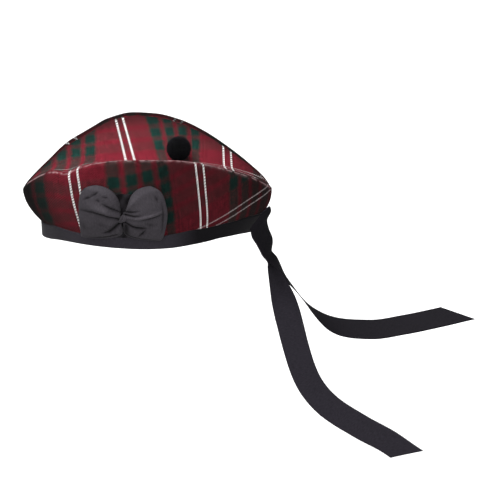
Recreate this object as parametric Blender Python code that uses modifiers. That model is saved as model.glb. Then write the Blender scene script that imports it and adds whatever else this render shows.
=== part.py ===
"""A glengarry, open as worn: side panels, dented crown, ribbon band, bow, toorie and tails.

Metres, +Z up. The front of the cap points along -X, the back along +X, and the wearer's left
side along -Y. The origin is the centre of the head opening, level with the lowest edge of the
band at its sides.
"""
import math

import bmesh
import bpy
import numpy as np
from mathutils import Vector

MM = 0.001

# Clearance between pieces that touch
GAP = 0.3 * MM

# Cloth cap
CLOTH_WALL = 1.6 * MM
RIM_LENGTH = 228.4 * MM
RIM_WIDTH = 143.6 * MM
RIM_ROUNDNESS = 0.72
RIM_DIP = 16.8 * MM
CROWN_LENGTH = 268.4 * MM
CROWN_WIDTH = 141.5 * MM
PEAK_HEIGHT = 100.2 * MM
TIP_HEIGHT = 37.5 * MM
DENT_DEPTH = 29.0 * MM
DENT_SHARPNESS = 1.4
BELLY = 4.0 * MM
ROLL = 9.0 * MM
SEAM_LAP = 1.4 * MM
CROWN_EASE = 0.3 * MM
CROWN_TIP_WIDTH = 2.4 * MM

# Lengthwise stations of the cap, and how far they crowd towards the two ends
STATIONS = 28
END_CROWDING = 0.8
ROLL_STEPS = (0.28, 0.52, 0.76, 1.0)
PANEL_ROWS = (0.25, 0.5, 0.75, 1.0)
DENT_ROWS = (1.0, 0.8, 0.58, 0.36, 0.16, 0.0)

# Sections of the cap from front to back. along: share of the length. spread: half-width at the
# ridge, share of half CROWN_WIDTH. rise: ridge height, share of PEAK_HEIGHT above TIP_HEIGHT.
# dent: depth below the ridge, share of DENT_DEPTH. roll: rounding of the ridge, share of ROLL.
# belly: outward swell of the side, share of BELLY. dip: sag of the rim, share of RIM_DIP.
# lean: share of the side's slope that the stretch under the band follows.
SECTION_COLUMNS = ("along", "spread", "rise", "dent", "roll", "belly", "dip", "lean")
SECTIONS = (
    (0.000, 0.000, 0.000, 0.00, 0.45, 1.00, 1.00, 0.00),
    (0.015, 0.065, 0.104, 0.01, 0.47, 0.98, 0.92, 0.00),
    (0.042, 0.140, 0.225, 0.05, 0.55, 0.94, 0.76, 0.05),
    (0.089, 0.272, 0.400, 0.14, 0.70, 0.90, 0.48, 0.20),
    (0.142, 0.470, 0.563, 0.29, 0.88, 0.90, 0.30, 0.40),
    (0.203, 0.672, 0.704, 0.47, 1.00, 0.92, 0.18, 0.60),
    (0.265, 0.826, 0.824, 0.65, 0.92, 0.96, 0.10, 0.80),
    (0.330, 0.930, 0.932, 0.83, 0.68, 1.00, 0.04, 1.00),
    (0.430, 1.000, 1.000, 0.97, 0.48, 1.00, 0.00, 1.00),
    (0.527, 0.966, 0.990, 0.94, 0.44, 1.00, 0.00, 1.00),
    (0.626, 0.848, 0.929, 0.84, 0.44, 0.95, 0.00, 1.00),
    (0.725, 0.678, 0.792, 0.62, 0.44, 0.92, -0.04, 1.00),
    (0.823, 0.478, 0.585, 0.36, 0.44, 0.92, -0.04, 1.00),
    (0.920, 0.256, 0.330, 0.14, 0.42, 1.00, 0.18, 1.00),
    (0.977, 0.120, 0.130, 0.03, 0.40, 1.10, 0.50, 1.00),
    (1.000, 0.000, 0.000, 0.00, 0.40, 1.10, 0.73, 1.00),
)

# Ribbon binding round the rim
BAND_WALL = 1.0 * MM
BAND_HEIGHT = 12.0 * MM
BAND_LAP_INSIDE = 11.0 * MM

# Toorie
TOORIE_DIAMETER = 26.6 * MM
TOORIE_ALONG = 0.625
TOORIE_TUFTS = 44
TUFT_DIAMETER = 9.6 * MM

# Bow on the left side
BOW_X = -21.0 * MM
BOW_HEIGHT_ON_SIDE = 38.5 * MM
BOW_LOOP_LENGTH = 44.5 * MM
BOW_LOOP_HEIGHT = 61.0 * MM
BOW_WALL = 0.9 * MM
BOW_PUFF = 8.0 * MM
BOW_PLEAT = 1.3 * MM
BOW_PLEATS = 3
BOW_PINCH_HEIGHT = 12.0 * MM
BOW_RIBS = 13
BOW_RIB_STEPS = 10
KNOT_WIDTH = 6.0 * MM
KNOT_HEIGHT = 13.5 * MM
KNOT_DEPTH = 8.5 * MM
KNOT_WAIST = 0.35
BACKING_WIDTH = 56.0 * MM
BACKING_HEIGHT = 47.0 * MM
BACKING_RISE = 4.5 * MM
BACKING_ROUNDING = 0.10

# Swell of a loop's front leaf: the stretch of a half sine wave that it follows, how fast it
# leaves the pinch, its flat margin at both edges, and how the pleats fade in
PUFF_SPAN = (0.12, 0.8)
PUFF_ONSET = 3.0
PUFF_MARGIN = 0.03
PLEAT_FADE = 0.3

# Ribs of one bow loop from its lower to its upper edge. across: share of the way up the pinch.
# out, up: where the rib ends, shares of BOW_LOOP_LENGTH and BOW_LOOP_HEIGHT from the pinch.
# bend_out, bend_up: the point that the rib bends towards, in the same shares.
LOOP_COLUMNS = ("across", "out", "up", "bend_out", "bend_up")
FRONT_LOOP = (
    (0.00, 0.55, -0.38, -0.30, -0.42),
    (0.25, 0.88, -0.33, 0.30, -0.30),
    (0.50, 0.90, 0.00, 0.42, 0.00),
    (0.75, 0.85, 0.34, 0.30, 0.22),
    (1.00, 0.56, 0.49, 0.08, 0.46),
)
REAR_LOOP = (
    (0.00, 0.60, -0.40, -0.30, -0.42),
    (0.25, 0.91, -0.38, 0.32, -0.28),
    (0.50, 0.95, 0.04, 0.45, 0.02),
    (0.75, 0.86, 0.38, 0.34, 0.24),
    (1.00, 0.70, 0.52, 0.10, 0.45),
)

# Ribbon tails: they lie together from the back seam to a waist, turn edge-on there and part
RIBBON_WIDTH = 30.0 * MM
RIBBON_WALL = 0.8 * MM
TAIL_SPACING = 2.0 * MM
ROOT_BEHIND = 7.6 * MM
ROOT_RISE = 14.6 * MM
WAIST_REACH = 10.6 * MM
WAIST_DROP = 48.5 * MM
UPPER_TAIL_REACH = 209.7 * MM
UPPER_TAIL_DROP = 85.6 * MM
UPPER_TAIL_SLANT = 34.0 * MM
LOWER_TAIL_REACH = 162.9 * MM
LOWER_TAIL_DROP = 259.4 * MM
LOWER_TAIL_SLANT = -28.0 * MM
CUT_STRETCH = 0.25
TAIL_STEPS = 38
TAIL_STRIPS = 3

# Sections of both tails from the back seam to the waist. reach and drop: distance behind and
# below the root, shares of WAIST_REACH and WAIST_DROP. near: distance towards the wearer's left,
# share of RIBBON_WIDTH. lean: slope of the ribbon's width in side view, degrees. turn: degrees
# that the upper edge has turned away towards the wearer's right.
TAIL_COLUMNS = ("reach", "drop", "near", "lean", "turn")
TAIL_ROOT = (
    (0.00, 0.00, 0.27, 42.0, 27.0),
    (0.08, 0.20, 0.20, 36.0, 46.0),
    (0.40, 0.47, 0.08, 40.0, 55.0),
    (0.70, 0.72, 0.02, 32.0, 66.0),
    (1.00, 1.00, 0.00, 10.0, 85.0),
)

# Sections of each tail below the waist, in the same columns, as shares of the tail's own reach
# and drop
UPPER_TAIL = (
    (0.035, 0.055, 0.20, 25.0, 92.0),
    (0.087, 0.257, 0.42, 36.0, 100.0),
    (0.125, 0.375, 0.48, 38.0, 104.0),
    (0.163, 0.506, 0.50, 39.0, 105.0),
    (0.206, 0.651, 0.50, 42.0, 102.0),
    (0.259, 0.788, 0.48, 50.0, 94.0),
    (0.320, 0.900, 0.45, 64.0, 84.0),
    (0.388, 0.965, 0.42, 74.0, 77.0),
    (0.456, 0.992, 0.40, 82.0, 74.0),
    (0.545, 1.000, 0.40, 91.0, 73.0),
    (0.724, 0.927, 0.40, 101.0, 73.0),
    (0.899, 0.824, 0.40, 104.0, 73.0),
    (1.000, 0.757, 0.40, 104.0, 73.0),
)
LOWER_TAIL = (
    (0.008, 0.020, -0.03, 10.0, 80.0),
    (0.036, 0.070, -0.03, 10.0, 66.0),
    (0.068, 0.145, 0.00, 12.0, 51.0),
    (0.106, 0.226, 0.00, 12.0, 27.0),
    (0.143, 0.324, 0.00, 11.0, 7.0),
    (0.180, 0.426, 0.00, 12.0, 0.0),
    (0.240, 0.558, 0.00, 17.0, 0.0),
    (0.300, 0.643, 0.00, 32.0, 0.0),
    (0.420, 0.741, 0.00, 50.0, 0.0),
    (0.658, 0.853, 0.00, 59.0, 0.0),
    (0.846, 0.927, 0.00, 58.0, 0.0),
    (1.000, 1.000, 0.00, 57.0, 0.0),
)

# Finishes: colour, roughness, metallic value
TARTAN_RED = ((0.235, 0.018, 0.032, 1.0), 0.92, 0.0)
BAND_BLACK = ((0.016, 0.015, 0.020, 1.0), 0.72, 0.0)
BOW_CHARCOAL = ((0.055, 0.051, 0.060, 1.0), 0.66, 0.0)
TAIL_BLACK = ((0.018, 0.016, 0.023, 1.0), 0.68, 0.0)
TOORIE_BLACK = ((0.006, 0.006, 0.008, 1.0), 0.96, 0.0)


def column(table, names, name):
    """One named column of a table as an array."""
    return np.array([row[names.index(name)] for row in table], dtype=float)


def smooth(at, places, values):
    """Cubic curve through the values that never overshoots between them."""
    steps = np.diff(places)
    slopes = np.diff(values) / steps
    product = slopes[:-1] * slopes[1:]
    total = slopes[:-1] + slopes[1:]
    same_way = product > 0.0
    inner = np.where(same_way, 2.0 * product / np.where(same_way, total, 1.0), 0.0)
    tangents = np.concatenate(([slopes[0]], inner, [slopes[-1]]))
    at = np.clip(np.asarray(at, dtype=float), places[0], places[-1])
    cell = np.clip(np.searchsorted(places, at, side="right") - 1, 0, len(steps) - 1)
    width = steps[cell]
    share = (at - places[cell]) / width
    return (
        values[cell] * (1.0 + 2.0 * share) * (1.0 - share) ** 2
        + tangents[cell] * width * share * (1.0 - share) ** 2
        + values[cell + 1] * share**2 * (3.0 - 2.0 * share)
        + tangents[cell + 1] * width * share**2 * (share - 1.0)
    )


def of_section(along, name):
    """Smooth value of one column of the cap's sections."""
    places = column(SECTIONS, SECTION_COLUMNS, "along")
    return smooth(along, places, column(SECTIONS, SECTION_COLUMNS, name))


def stations():
    """Lengthwise stations, crowded towards both ends."""
    count = np.arange(STATIONS + 1) / STATIONS
    eased = (1.0 - np.cos(math.pi * count)) / 2.0
    return END_CROWDING * eased + (1.0 - END_CROWDING) * count


def stack(x, y, z):
    """Points from their coordinates."""
    return np.stack(np.broadcast_arrays(x, y, z), axis=-1)


def unit(vectors):
    """Vectors of length one."""
    return vectors / np.linalg.norm(vectors, axis=-1, keepdims=True)


def rim_line(along):
    """Lower edge of the left side panel, which the band's fold clears."""
    half = RIM_WIDTH / 2.0 * (1.0 - (2.0 * along - 1.0) ** 2) ** RIM_ROUNDNESS
    lift = BAND_WALL + GAP - RIM_DIP * of_section(along, "dip")
    return stack((along - 0.5) * RIM_LENGTH, -half, lift)


def ridge_half(along):
    """Half-width between the ridges."""
    return CROWN_WIDTH / 2.0 * of_section(along, "spread")


def ridge_height(along):
    """Height of the ridge before it is rounded."""
    return TIP_HEIGHT + (PEAK_HEIGHT - TIP_HEIGHT) * of_section(along, "rise")


def crown_point(along, inset):
    """Point of the crown's left half, inset from the ridge towards the middle."""
    half = ridge_half(along)
    share = np.clip(1.0 - inset / np.maximum(half, MM), 0.0, 1.0)
    depth = DENT_DEPTH * of_section(along, "dent")
    height = ridge_height(along) - depth * (1.0 - share**DENT_SHARPNESS)
    return stack((along - 0.5) * CROWN_LENGTH, inset - half, height)


def roll_size(along):
    """How far the rounding of the ridge reaches on each side of it."""
    return ROLL * of_section(along, "roll")


def seam_inset(along):
    """Distance of the crown seam from the ridge, inside it."""
    return roll_size(along) + SEAM_LAP


def swell(along):
    """Outward level direction in which the side bellies."""
    middle = 2.0 * along - 1.0
    slope = stack(middle / RIM_LENGTH, -(1.0 - middle**2) / RIM_WIDTH, 0.0 * along)
    return unit(slope)


def band_top_line(along):
    """Line on the left panel at the band's upper edge, outer face."""
    rim = rim_line(along)
    chord = unit(crown_point(along, 0.0) - rim)
    lean = of_section(along, "lean")[..., None]
    return rim + (BAND_HEIGHT + GAP) * unit(chord * lean + np.array((0.0, 0.0, 1.0)) * (1.0 - lean))


def side_rows(along):
    """Rows of the left panel from the rim up and over the ridge to the crown seam."""
    foot = band_top_line(along)
    ridge = crown_point(along, 0.0)
    rise = ridge - foot
    roll = roll_size(along)[:, None]
    straight = 1.0 - roll / np.linalg.norm(rise, axis=-1, keepdims=True)
    belly = (BELLY * of_section(along, "belly"))[:, None] * swell(along)
    rows = [rim_line(along), foot]
    for share in PANEL_ROWS:
        up = straight * share
        rows.append(foot + rise * up + belly * 4.0 * up * (1.0 - up))
    start = rows[-1]
    end = crown_point(along, roll[:, 0])
    for step in ROLL_STEPS:
        rows.append(start * (1.0 - step) ** 2 + ridge * 2.0 * step * (1.0 - step) + end * step**2)
    rows.append(crown_point(along, seam_inset(along)))
    return np.stack(rows, axis=1)


def side_height_at(x, z):
    """Place across the cap of the left panel's outer face, at a side-view point above the band."""
    along = np.full(np.shape(x), 0.5)
    for _ in range(8):
        foot = band_top_line(along)
        ridge = crown_point(along, 0.0)
        up = (z - foot[..., 2]) / (ridge[..., 2] - foot[..., 2])
        length = (ridge[..., 0] * up + foot[..., 0] * (1.0 - up)) / (along - 0.5 + 1e-9)
        along = np.where(np.abs(along - 0.5) < 0.01, 0.5 + x / CROWN_LENGTH, 0.5 + x / length)
    belly = BELLY * of_section(along, "belly") * 4.0 * up * (1.0 - up) * swell(along)[..., 1]
    return foot[..., 1] * (1.0 - up) + ridge[..., 1] * up + belly


def on_side(x, z, stand):
    """Points that stand out from the left panel at side-view places."""
    step = 0.5 * MM
    y = side_height_at(x, z)
    slope_x = (side_height_at(x + step, z) - y) / step
    slope_z = (side_height_at(x, z + step) - y) / step
    outward = unit(stack(slope_x, -1.0, slope_z))
    return stack(x, y, z) + outward * np.asarray(stand)[..., None]


def grid_faces(columns, rows, closed=False):
    """Quads of a grid whose points run row by row inside each column."""
    faces = []
    last = columns if closed else columns - 1
    for i in range(last):
        nxt = (i + 1) % columns
        for j in range(rows - 1):
            faces.append((i * rows + j, nxt * rows + j, nxt * rows + j + 1, i * rows + j + 1))
    return faces


def surface(name, points, collection, finish, flip=False, closed=False):
    """An open surface through a grid of points."""
    columns, rows = points.shape[:2]
    faces = grid_faces(columns, rows, closed)
    if flip:
        faces = [face[::-1] for face in faces]
    mesh = bpy.data.meshes.new(name)
    mesh.from_pydata(points.reshape(-1, 3).tolist(), [], faces)
    mesh.shade_smooth()
    piece = bpy.data.objects.new(name, mesh)
    collection.objects.link(piece)
    dress(piece, finish)
    return piece


def dress(piece, finish):
    """Give a piece its own plain material."""
    colour, roughness, metallic = finish
    material = bpy.data.materials.new(piece.name)
    material.use_nodes = True
    shader = material.node_tree.nodes["Principled BSDF"]
    shader.inputs["Base Color"].default_value = colour
    shader.inputs["Roughness"].default_value = roughness
    shader.inputs["Metallic"].default_value = metallic
    piece.data.materials.append(material)


def thicken(piece, wall, offset):
    """Give an open surface its wall."""
    shell = piece.modifiers.new("wall", "SOLIDIFY")
    shell.thickness = wall
    shell.offset = offset
    shell.use_even_offset = True
    shell.use_rim = True
    return shell


def centre_cutter(name, hand, collection):
    """A block on the far side of the middle plane, which trims a panel to its centre seams."""
    width = RIM_WIDTH
    length = 2.0 * CROWN_LENGTH
    height = 4.0 * PEAK_HEIGHT
    block = bmesh.new()
    bmesh.ops.create_cube(block, size=1.0)
    bmesh.ops.scale(block, vec=Vector((length, width, height)), verts=block.verts)
    shift = -hand * (width - GAP) / 2.0
    bmesh.ops.translate(block, vec=Vector((0.0, shift, 0.0)), verts=block.verts)
    mesh = bpy.data.meshes.new(name)
    block.to_mesh(mesh)
    block.free()
    cutter = bpy.data.objects.new(name, mesh)
    cutter.hide_render = True
    cutter.display_type = "WIRE"
    collection.objects.link(cutter)
    return cutter


def build_side(name, hand, parts, cutters):
    """One side panel. hand is -1 for the wearer's left and +1 for the right."""
    rows = side_rows(stations())
    before = 2.0 * rows[0] - rows[1]
    after = 2.0 * rows[-1] - rows[-2]
    points = np.concatenate((before[None], rows, after[None]))
    points[..., 1] *= -hand
    piece = surface(name, points, parts, TARTAN_RED, flip=hand > 0)
    thicken(piece, CLOTH_WALL, -1.0)
    trim = piece.modifiers.new("centre seams", "BOOLEAN")
    trim.operation = "DIFFERENCE"
    trim.solver = "EXACT"
    trim.object = centre_cutter(f"{name}_centre_cut", hand, cutters)
    return piece


def crown_rows(along):
    """Rows of the crown's left half from its seam down into the dent."""
    edge = seam_inset(along) + GAP + CROWN_EASE
    half = ridge_half(along)
    rows = [crown_point(along, half - (half - edge) * share) for share in DENT_ROWS]
    return np.stack(rows, axis=1)


def build_crown(parts):
    """The dented top piece between the two ridges."""
    samples = np.linspace(0.0, 1.0, 2001)
    half = ridge_half(samples) - seam_inset(samples) - GAP - CROWN_EASE
    wide = samples[half > CROWN_TIP_WIDTH / 2.0]
    shared = stations()
    points = crown_rows(shared[(shared >= wide[0]) & (shared <= wide[-1])])
    points[:, -1, 1] = 0.0
    piece = surface("crown", points, parts, TARTAN_RED)
    mirror = piece.modifiers.new("right half", "MIRROR")
    mirror.use_axis = (False, True, False)
    mirror.merge_threshold = 0.0001
    thicken(piece, CLOTH_WALL, -1.0)
    return piece


def ring(values):
    """The left side's stations followed by the right side's, back to the front."""
    mirrored = values[-2:0:-1] * np.array((1.0, -1.0, 1.0))
    return np.concatenate((values, mirrored))


def mitred_normals(points, upward):
    """Outward directions round a ring, scaled so that both neighbouring faces clear alike."""
    edges = np.roll(points, -1, axis=0) - points
    facing = unit(np.cross(edges, upward + np.roll(upward, -1, axis=0)))
    previous = np.roll(facing, 1, axis=0)
    total = facing + previous
    return total / (1.0 + np.sum(facing * previous, axis=-1, keepdims=True))


def build_band(parts):
    """The ribbon folded over the rim, an upright U in section."""
    rows = side_rows(stations())
    rim = ring(rows[:, 0])
    upward = unit(ring(rows[:, 1]) - rim)
    outward = mitred_normals(rim, upward)
    outside = GAP + BAND_WALL / 2.0
    inside = -(CLOTH_WALL + GAP + BAND_WALL / 2.0)
    points = np.stack(
        (
            rim - upward * outside + outward * inside + upward * BAND_LAP_INSIDE,
            rim - upward * outside + outward * inside,
            rim - upward * outside + outward * outside,
            rim - upward * outside + outward * outside + upward * BAND_HEIGHT,
        ),
        axis=1,
    )
    piece = surface("band", points, parts, BAND_BLACK, closed=True)
    thicken(piece, BAND_WALL, 0.0)
    return piece


def toorie_seat():
    """Height of the toorie's centre where it rests in the dent."""
    reach = TOORIE_DIAMETER / 2.0 + GAP
    span = np.linspace(-1.0, 1.0, 41) * reach
    x, y = np.meshgrid(span, span)
    flat = x**2 + y**2
    centre = (TOORIE_ALONG - 0.5) * CROWN_LENGTH
    along = 0.5 + (centre + x) / CROWN_LENGTH
    half = ridge_half(along)
    edge = seam_inset(along) + GAP + CROWN_EASE
    shares = np.array(DENT_ROWS[::-1])
    spot = np.clip(np.abs(y) / (half - edge), 0.0, 1.0)
    cell = np.clip(np.searchsorted(shares, spot, side="right") - 1, 0, len(shares) - 2)
    lower = crown_point(along, half - (half - edge) * shares[cell])[..., 2]
    upper = crown_point(along, half - (half - edge) * shares[cell + 1])[..., 2]
    blend = (spot - shares[cell]) / (shares[cell + 1] - shares[cell])
    ground = lower + (upper - lower) * blend
    return centre, np.max(np.where(flat < reach**2, ground + np.sqrt(np.maximum(reach**2 - flat, 0.0)), -1.0))


def build_toorie(parts, cutters):
    """A ball of wool tufts fused to a core."""
    x, z = toorie_seat()
    radius = TOORIE_DIAMETER / 2.0
    tuft = TUFT_DIAMETER / 2.0
    core = bmesh.new()
    bmesh.ops.create_icosphere(core, subdivisions=2, radius=radius - tuft)
    mesh = bpy.data.meshes.new("toorie")
    core.to_mesh(mesh)
    core.free()
    mesh.shade_smooth()
    ball = bpy.data.objects.new("toorie", mesh)
    parts.objects.link(ball)
    dress(ball, TOORIE_BLACK)
    tufts = bmesh.new()
    turn = math.pi * (3.0 - math.sqrt(5.0))
    for i in range(TOORIE_TUFTS):
        level = 1.0 - 2.0 * (i + 0.5) / TOORIE_TUFTS
        round_off = math.sqrt(1.0 - level**2)
        aim = Vector((round_off * math.cos(turn * i), round_off * math.sin(turn * i), level))
        made = bmesh.ops.create_icosphere(tufts, subdivisions=2, radius=tuft)
        bmesh.ops.rotate(tufts, verts=made["verts"], matrix=aim.to_track_quat("Z", "Y").to_matrix())
        bmesh.ops.translate(tufts, verts=made["verts"], vec=aim * (radius - tuft))
    mesh = bpy.data.meshes.new("toorie_tufts")
    tufts.to_mesh(mesh)
    tufts.free()
    guide = bpy.data.objects.new("toorie_tufts", mesh)
    guide.hide_render = True
    guide.display_type = "WIRE"
    cutters.objects.link(guide)
    for piece in (ball, guide):
        piece.location = (x, 0.0, z)
    fuse = ball.modifiers.new("tufts", "BOOLEAN")
    fuse.operation = "UNION"
    fuse.solver = "EXACT"
    fuse.use_self = True
    fuse.object = guide
    return ball


def bow_levels():
    """Distances of the bow's layers from the panel: backing, loop's back leaf, pinch."""
    backing = 2.0 * GAP + BOW_WALL / 2.0
    back_leaf = backing + BOW_WALL + GAP
    pinch = back_leaf + BOW_WALL + 3.0 * GAP
    return backing, back_leaf, pinch


def loop_puff(across, step):
    """How far a loop's front leaf stands above the pinch: a swell with pleats that fade out."""
    edge = np.sqrt(np.sin(math.pi * np.clip(across, PUFF_MARGIN, 1.0 - PUFF_MARGIN)))
    start, end = PUFF_SPAN
    puff = BOW_PUFF * math.sin(math.pi * (start + (end - start) * step)) * edge
    pleat = BOW_PLEAT * (1.0 - step) * step**PLEAT_FADE * np.cos(2.0 * math.pi * BOW_PLEATS * across)
    return puff * min(1.0, PUFF_ONSET * step) + pleat + BOW_PLEAT


def build_loop(name, table, hand, parts):
    """One loop of the bow. hand is -1 towards the front of the cap and +1 towards the back."""
    _, back_leaf, pinch = bow_levels()
    across = np.linspace(0.0, 1.0, BOW_RIBS)
    places = column(table, LOOP_COLUMNS, "across")
    ribs = {key: smooth(across, places, column(table, LOOP_COLUMNS, key)) for key in LOOP_COLUMNS[1:]}
    root_out = KNOT_WIDTH / 2.0 + BOW_WALL / 2.0 + GAP
    root_up = (across - 0.5) * BOW_PINCH_HEIGHT
    run_out = BOW_LOOP_LENGTH - root_out
    outward = np.linspace(0.0, 1.0, BOW_RIB_STEPS)
    rows = []
    for leaf, steps in (("front", outward), ("back", outward[::-1])):
        for step in steps:
            bend = 2.0 * step * (1.0 - step)
            out = root_out + run_out * (bend * ribs["bend_out"] + step**2 * ribs["out"])
            up = BOW_LOOP_HEIGHT * (bend * ribs["bend_up"] + step**2 * ribs["up"])
            up += root_up * (1.0 - step) ** 2
            stand = np.full_like(across, back_leaf)
            if leaf == "front":
                stand = pinch + loop_puff(across, step)
            rows.append(on_side(BOW_X + hand * out, BOW_HEIGHT_ON_SIDE + up, stand))
    points = np.stack(rows)
    piece = surface(name, points, parts, BOW_CHARCOAL, flip=hand < 0)
    thicken(piece, BOW_WALL, 0.0)
    return piece


def build_backing(parts):
    """The flat ribbon behind the loops."""
    backing, _, _ = bow_levels()
    x, z = np.meshgrid(np.linspace(-0.5, 0.5, 15), np.linspace(-0.5, 0.5, 9), indexing="ij")
    rounding = 1.0 - BACKING_ROUNDING * (2.0 * np.abs(z)) ** 3
    points = on_side(
        BOW_X + x * BACKING_WIDTH * rounding,
        BOW_HEIGHT_ON_SIDE + BACKING_RISE + z * BACKING_HEIGHT,
        np.full_like(x, backing),
    )
    piece = surface("cockade_back", points, parts, BOW_CHARCOAL)
    thicken(piece, BOW_WALL, 0.0)
    return piece


def build_knot(parts):
    """The pinched middle of the bow, a small soft roll."""
    _, back_leaf, _ = bow_levels()
    inner = back_leaf - BOW_WALL / 2.0
    cage = bmesh.new()
    bmesh.ops.create_cube(cage, size=1.0)
    bmesh.ops.subdivide_edges(cage, edges=cage.edges[:], cuts=1, use_grid_fill=True)
    for corner in cage.verts:
        waist = 1.0 - KNOT_WAIST * (2.0 * abs(corner.co.z)) ** 2
        corner.co.x *= waist
    places = np.array([corner.co[:] for corner in cage.verts])
    points = on_side(
        BOW_X + places[:, 0] * KNOT_WIDTH,
        BOW_HEIGHT_ON_SIDE + places[:, 2] * KNOT_HEIGHT,
        inner + (0.5 - places[:, 1]) * KNOT_DEPTH,
    )
    for corner, place in zip(cage.verts, points):
        corner.co = place
    mesh = bpy.data.meshes.new("cockade_knot")
    cage.to_mesh(mesh)
    cage.free()
    mesh.shade_smooth()
    piece = bpy.data.objects.new("cockade_knot", mesh)
    parts.objects.link(piece)
    dress(piece, BOW_CHARCOAL)
    soft = piece.modifiers.new("soft", "SUBSURF")
    soft.levels = 2
    soft.render_levels = 2
    return piece


def build_tail(name, table, size, side, slant, parts):
    """A ribbon tail swept along its sections.

    size is its reach and drop below the waist. side is -1 where it lies on the wearer's left of
    the other at the root and +1 on the right. slant is how far its cut upper corner falls short
    of its lower one.
    """
    start = rim_line(np.array(1.0)) + np.array((ROOT_BEHIND, 0.0, ROOT_RISE))
    sections = []
    for rows, corner, reach, drop in (
        (TAIL_ROOT, start, WAIST_REACH, WAIST_DROP),
        (table, start + np.array((WAIST_REACH, 0.0, -WAIST_DROP)), *size),
    ):
        of = {key: column(rows, TAIL_COLUMNS, key) for key in TAIL_COLUMNS}
        middle = corner + stack(of["reach"] * reach, -of["near"] * RIBBON_WIDTH, -of["drop"] * drop)
        sections.append(np.column_stack((middle, of["lean"], of["turn"])))
    sections = np.concatenate(sections)
    middle = sections[:, :3]
    passed = np.concatenate(([0.0], np.cumsum(np.linalg.norm(np.diff(middle, axis=0), axis=1))))
    steps = np.linspace(0.0, passed[-1], TAIL_STEPS + 1)
    path = np.stack([smooth(steps, passed, middle[:, axis]) for axis in range(3)], axis=1)
    lean = np.radians(smooth(steps, passed, sections[:, 3]))
    turn = np.radians(smooth(steps, passed, sections[:, 4]))
    broad = stack(np.cos(turn) * np.cos(lean), np.sin(turn), np.cos(turn) * np.sin(lean))
    across = np.linspace(-0.5, 0.5, TAIL_STRIPS + 1)
    points = path[:, None] + broad[:, None] * (across * RIBBON_WIDTH)[None, :, None]
    ahead = unit(np.gradient(points, axis=0))
    facing = unit(np.cross(ahead, np.broadcast_to(broad[:, None], points.shape)))
    ending = np.clip(1.0 - (1.0 - steps / passed[-1]) / CUT_STRETCH, 0.0, 1.0) ** 2
    points -= ahead * (ending[:, None] * across[None, :] * slant)[..., None]
    points -= facing * side * TAIL_SPACING / 2.0
    piece = surface(name, points, parts, TAIL_BLACK)
    thicken(piece, RIBBON_WALL, 0.0)
    return piece


def main():
    """Build the cap."""
    for old in list(bpy.data.objects):
        bpy.data.objects.remove(old, do_unlink=True)
    parts = bpy.data.collections.new("glengarry")
    cutters = bpy.data.collections.new("cutters")
    bpy.context.scene.collection.children.link(parts)
    bpy.context.scene.collection.children.link(cutters)
    build_side("side_left", -1.0, parts, cutters)
    build_side("side_right", 1.0, parts, cutters)
    build_crown(parts)
    build_band(parts)
    build_toorie(parts, cutters)
    build_backing(parts)
    build_loop("cockade_loop_front", FRONT_LOOP, -1.0, parts)
    build_loop("cockade_loop_rear", REAR_LOOP, 1.0, parts)
    build_knot(parts)
    upper = (UPPER_TAIL_REACH, UPPER_TAIL_DROP)
    lower = (LOWER_TAIL_REACH, LOWER_TAIL_DROP)
    build_tail("tail_near", UPPER_TAIL, upper, -1.0, UPPER_TAIL_SLANT, parts)
    build_tail("tail_far", LOWER_TAIL, lower, 1.0, LOWER_TAIL_SLANT, parts)


main()
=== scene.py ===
"""A glengarry: tartan side panels and crown, ribbon band, toorie, bow and two ribbon tails.

Metres, +Z up. The front of the cap points along -X, the back along +X, and the wearer's left
side along -Y. The origin is the centre of the head opening.
"""
import logging
import math
from collections.abc import Callable
from dataclasses import dataclass
from enum import Enum

import bpy
import numpy as np
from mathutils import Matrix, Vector


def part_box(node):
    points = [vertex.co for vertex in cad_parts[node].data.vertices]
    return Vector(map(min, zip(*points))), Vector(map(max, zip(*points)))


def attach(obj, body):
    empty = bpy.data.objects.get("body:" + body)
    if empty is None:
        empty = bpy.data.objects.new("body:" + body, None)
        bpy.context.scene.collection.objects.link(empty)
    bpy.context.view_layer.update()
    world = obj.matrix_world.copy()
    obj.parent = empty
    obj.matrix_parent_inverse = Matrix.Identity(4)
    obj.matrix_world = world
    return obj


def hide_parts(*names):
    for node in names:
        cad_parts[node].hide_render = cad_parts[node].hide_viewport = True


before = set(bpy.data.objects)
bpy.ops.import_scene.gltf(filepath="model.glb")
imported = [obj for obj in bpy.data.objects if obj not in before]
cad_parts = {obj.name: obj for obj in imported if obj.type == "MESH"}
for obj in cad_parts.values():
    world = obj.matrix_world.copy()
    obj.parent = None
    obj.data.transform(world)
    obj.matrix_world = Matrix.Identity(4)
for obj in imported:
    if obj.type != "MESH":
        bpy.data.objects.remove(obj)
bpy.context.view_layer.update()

LOG = logging.getLogger("glengarry")
MM = 0.001
Array = np.ndarray
Colour = tuple[float, float, float]


# Shape arithmetic

def smooth(at: Array, places: Array, values: Array) -> Array:
    """Cubic curve through given values that never overshoots between them.

    Args:
        at: Where the curve is read.
        places: Places of the values, rising.
        values: One value for each place.

    Returns:
        The curve's value at each point of at.
    """
    steps = np.diff(places)
    slopes = np.diff(values) / steps
    product = slopes[:-1] * slopes[1:]
    total = slopes[:-1] + slopes[1:]
    same_way = product > 0.0
    inner = np.where(same_way, 2.0 * product / np.where(same_way, total, 1.0), 0.0)
    tangents = np.concatenate(([slopes[0]], inner, [slopes[-1]]))
    at = np.clip(np.asarray(at, dtype=float), places[0], places[-1])
    cell = np.clip(np.searchsorted(places, at, side="right") - 1, 0, len(steps) - 1)
    width = steps[cell]
    share = (at - places[cell]) / width
    return (
        values[cell] * (1.0 + 2.0 * share) * (1.0 - share) ** 2
        + tangents[cell] * width * share * (1.0 - share) ** 2
        + values[cell + 1] * share**2 * (3.0 - 2.0 * share)
        + tangents[cell + 1] * width * share**2 * (share - 1.0)
    )


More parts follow.
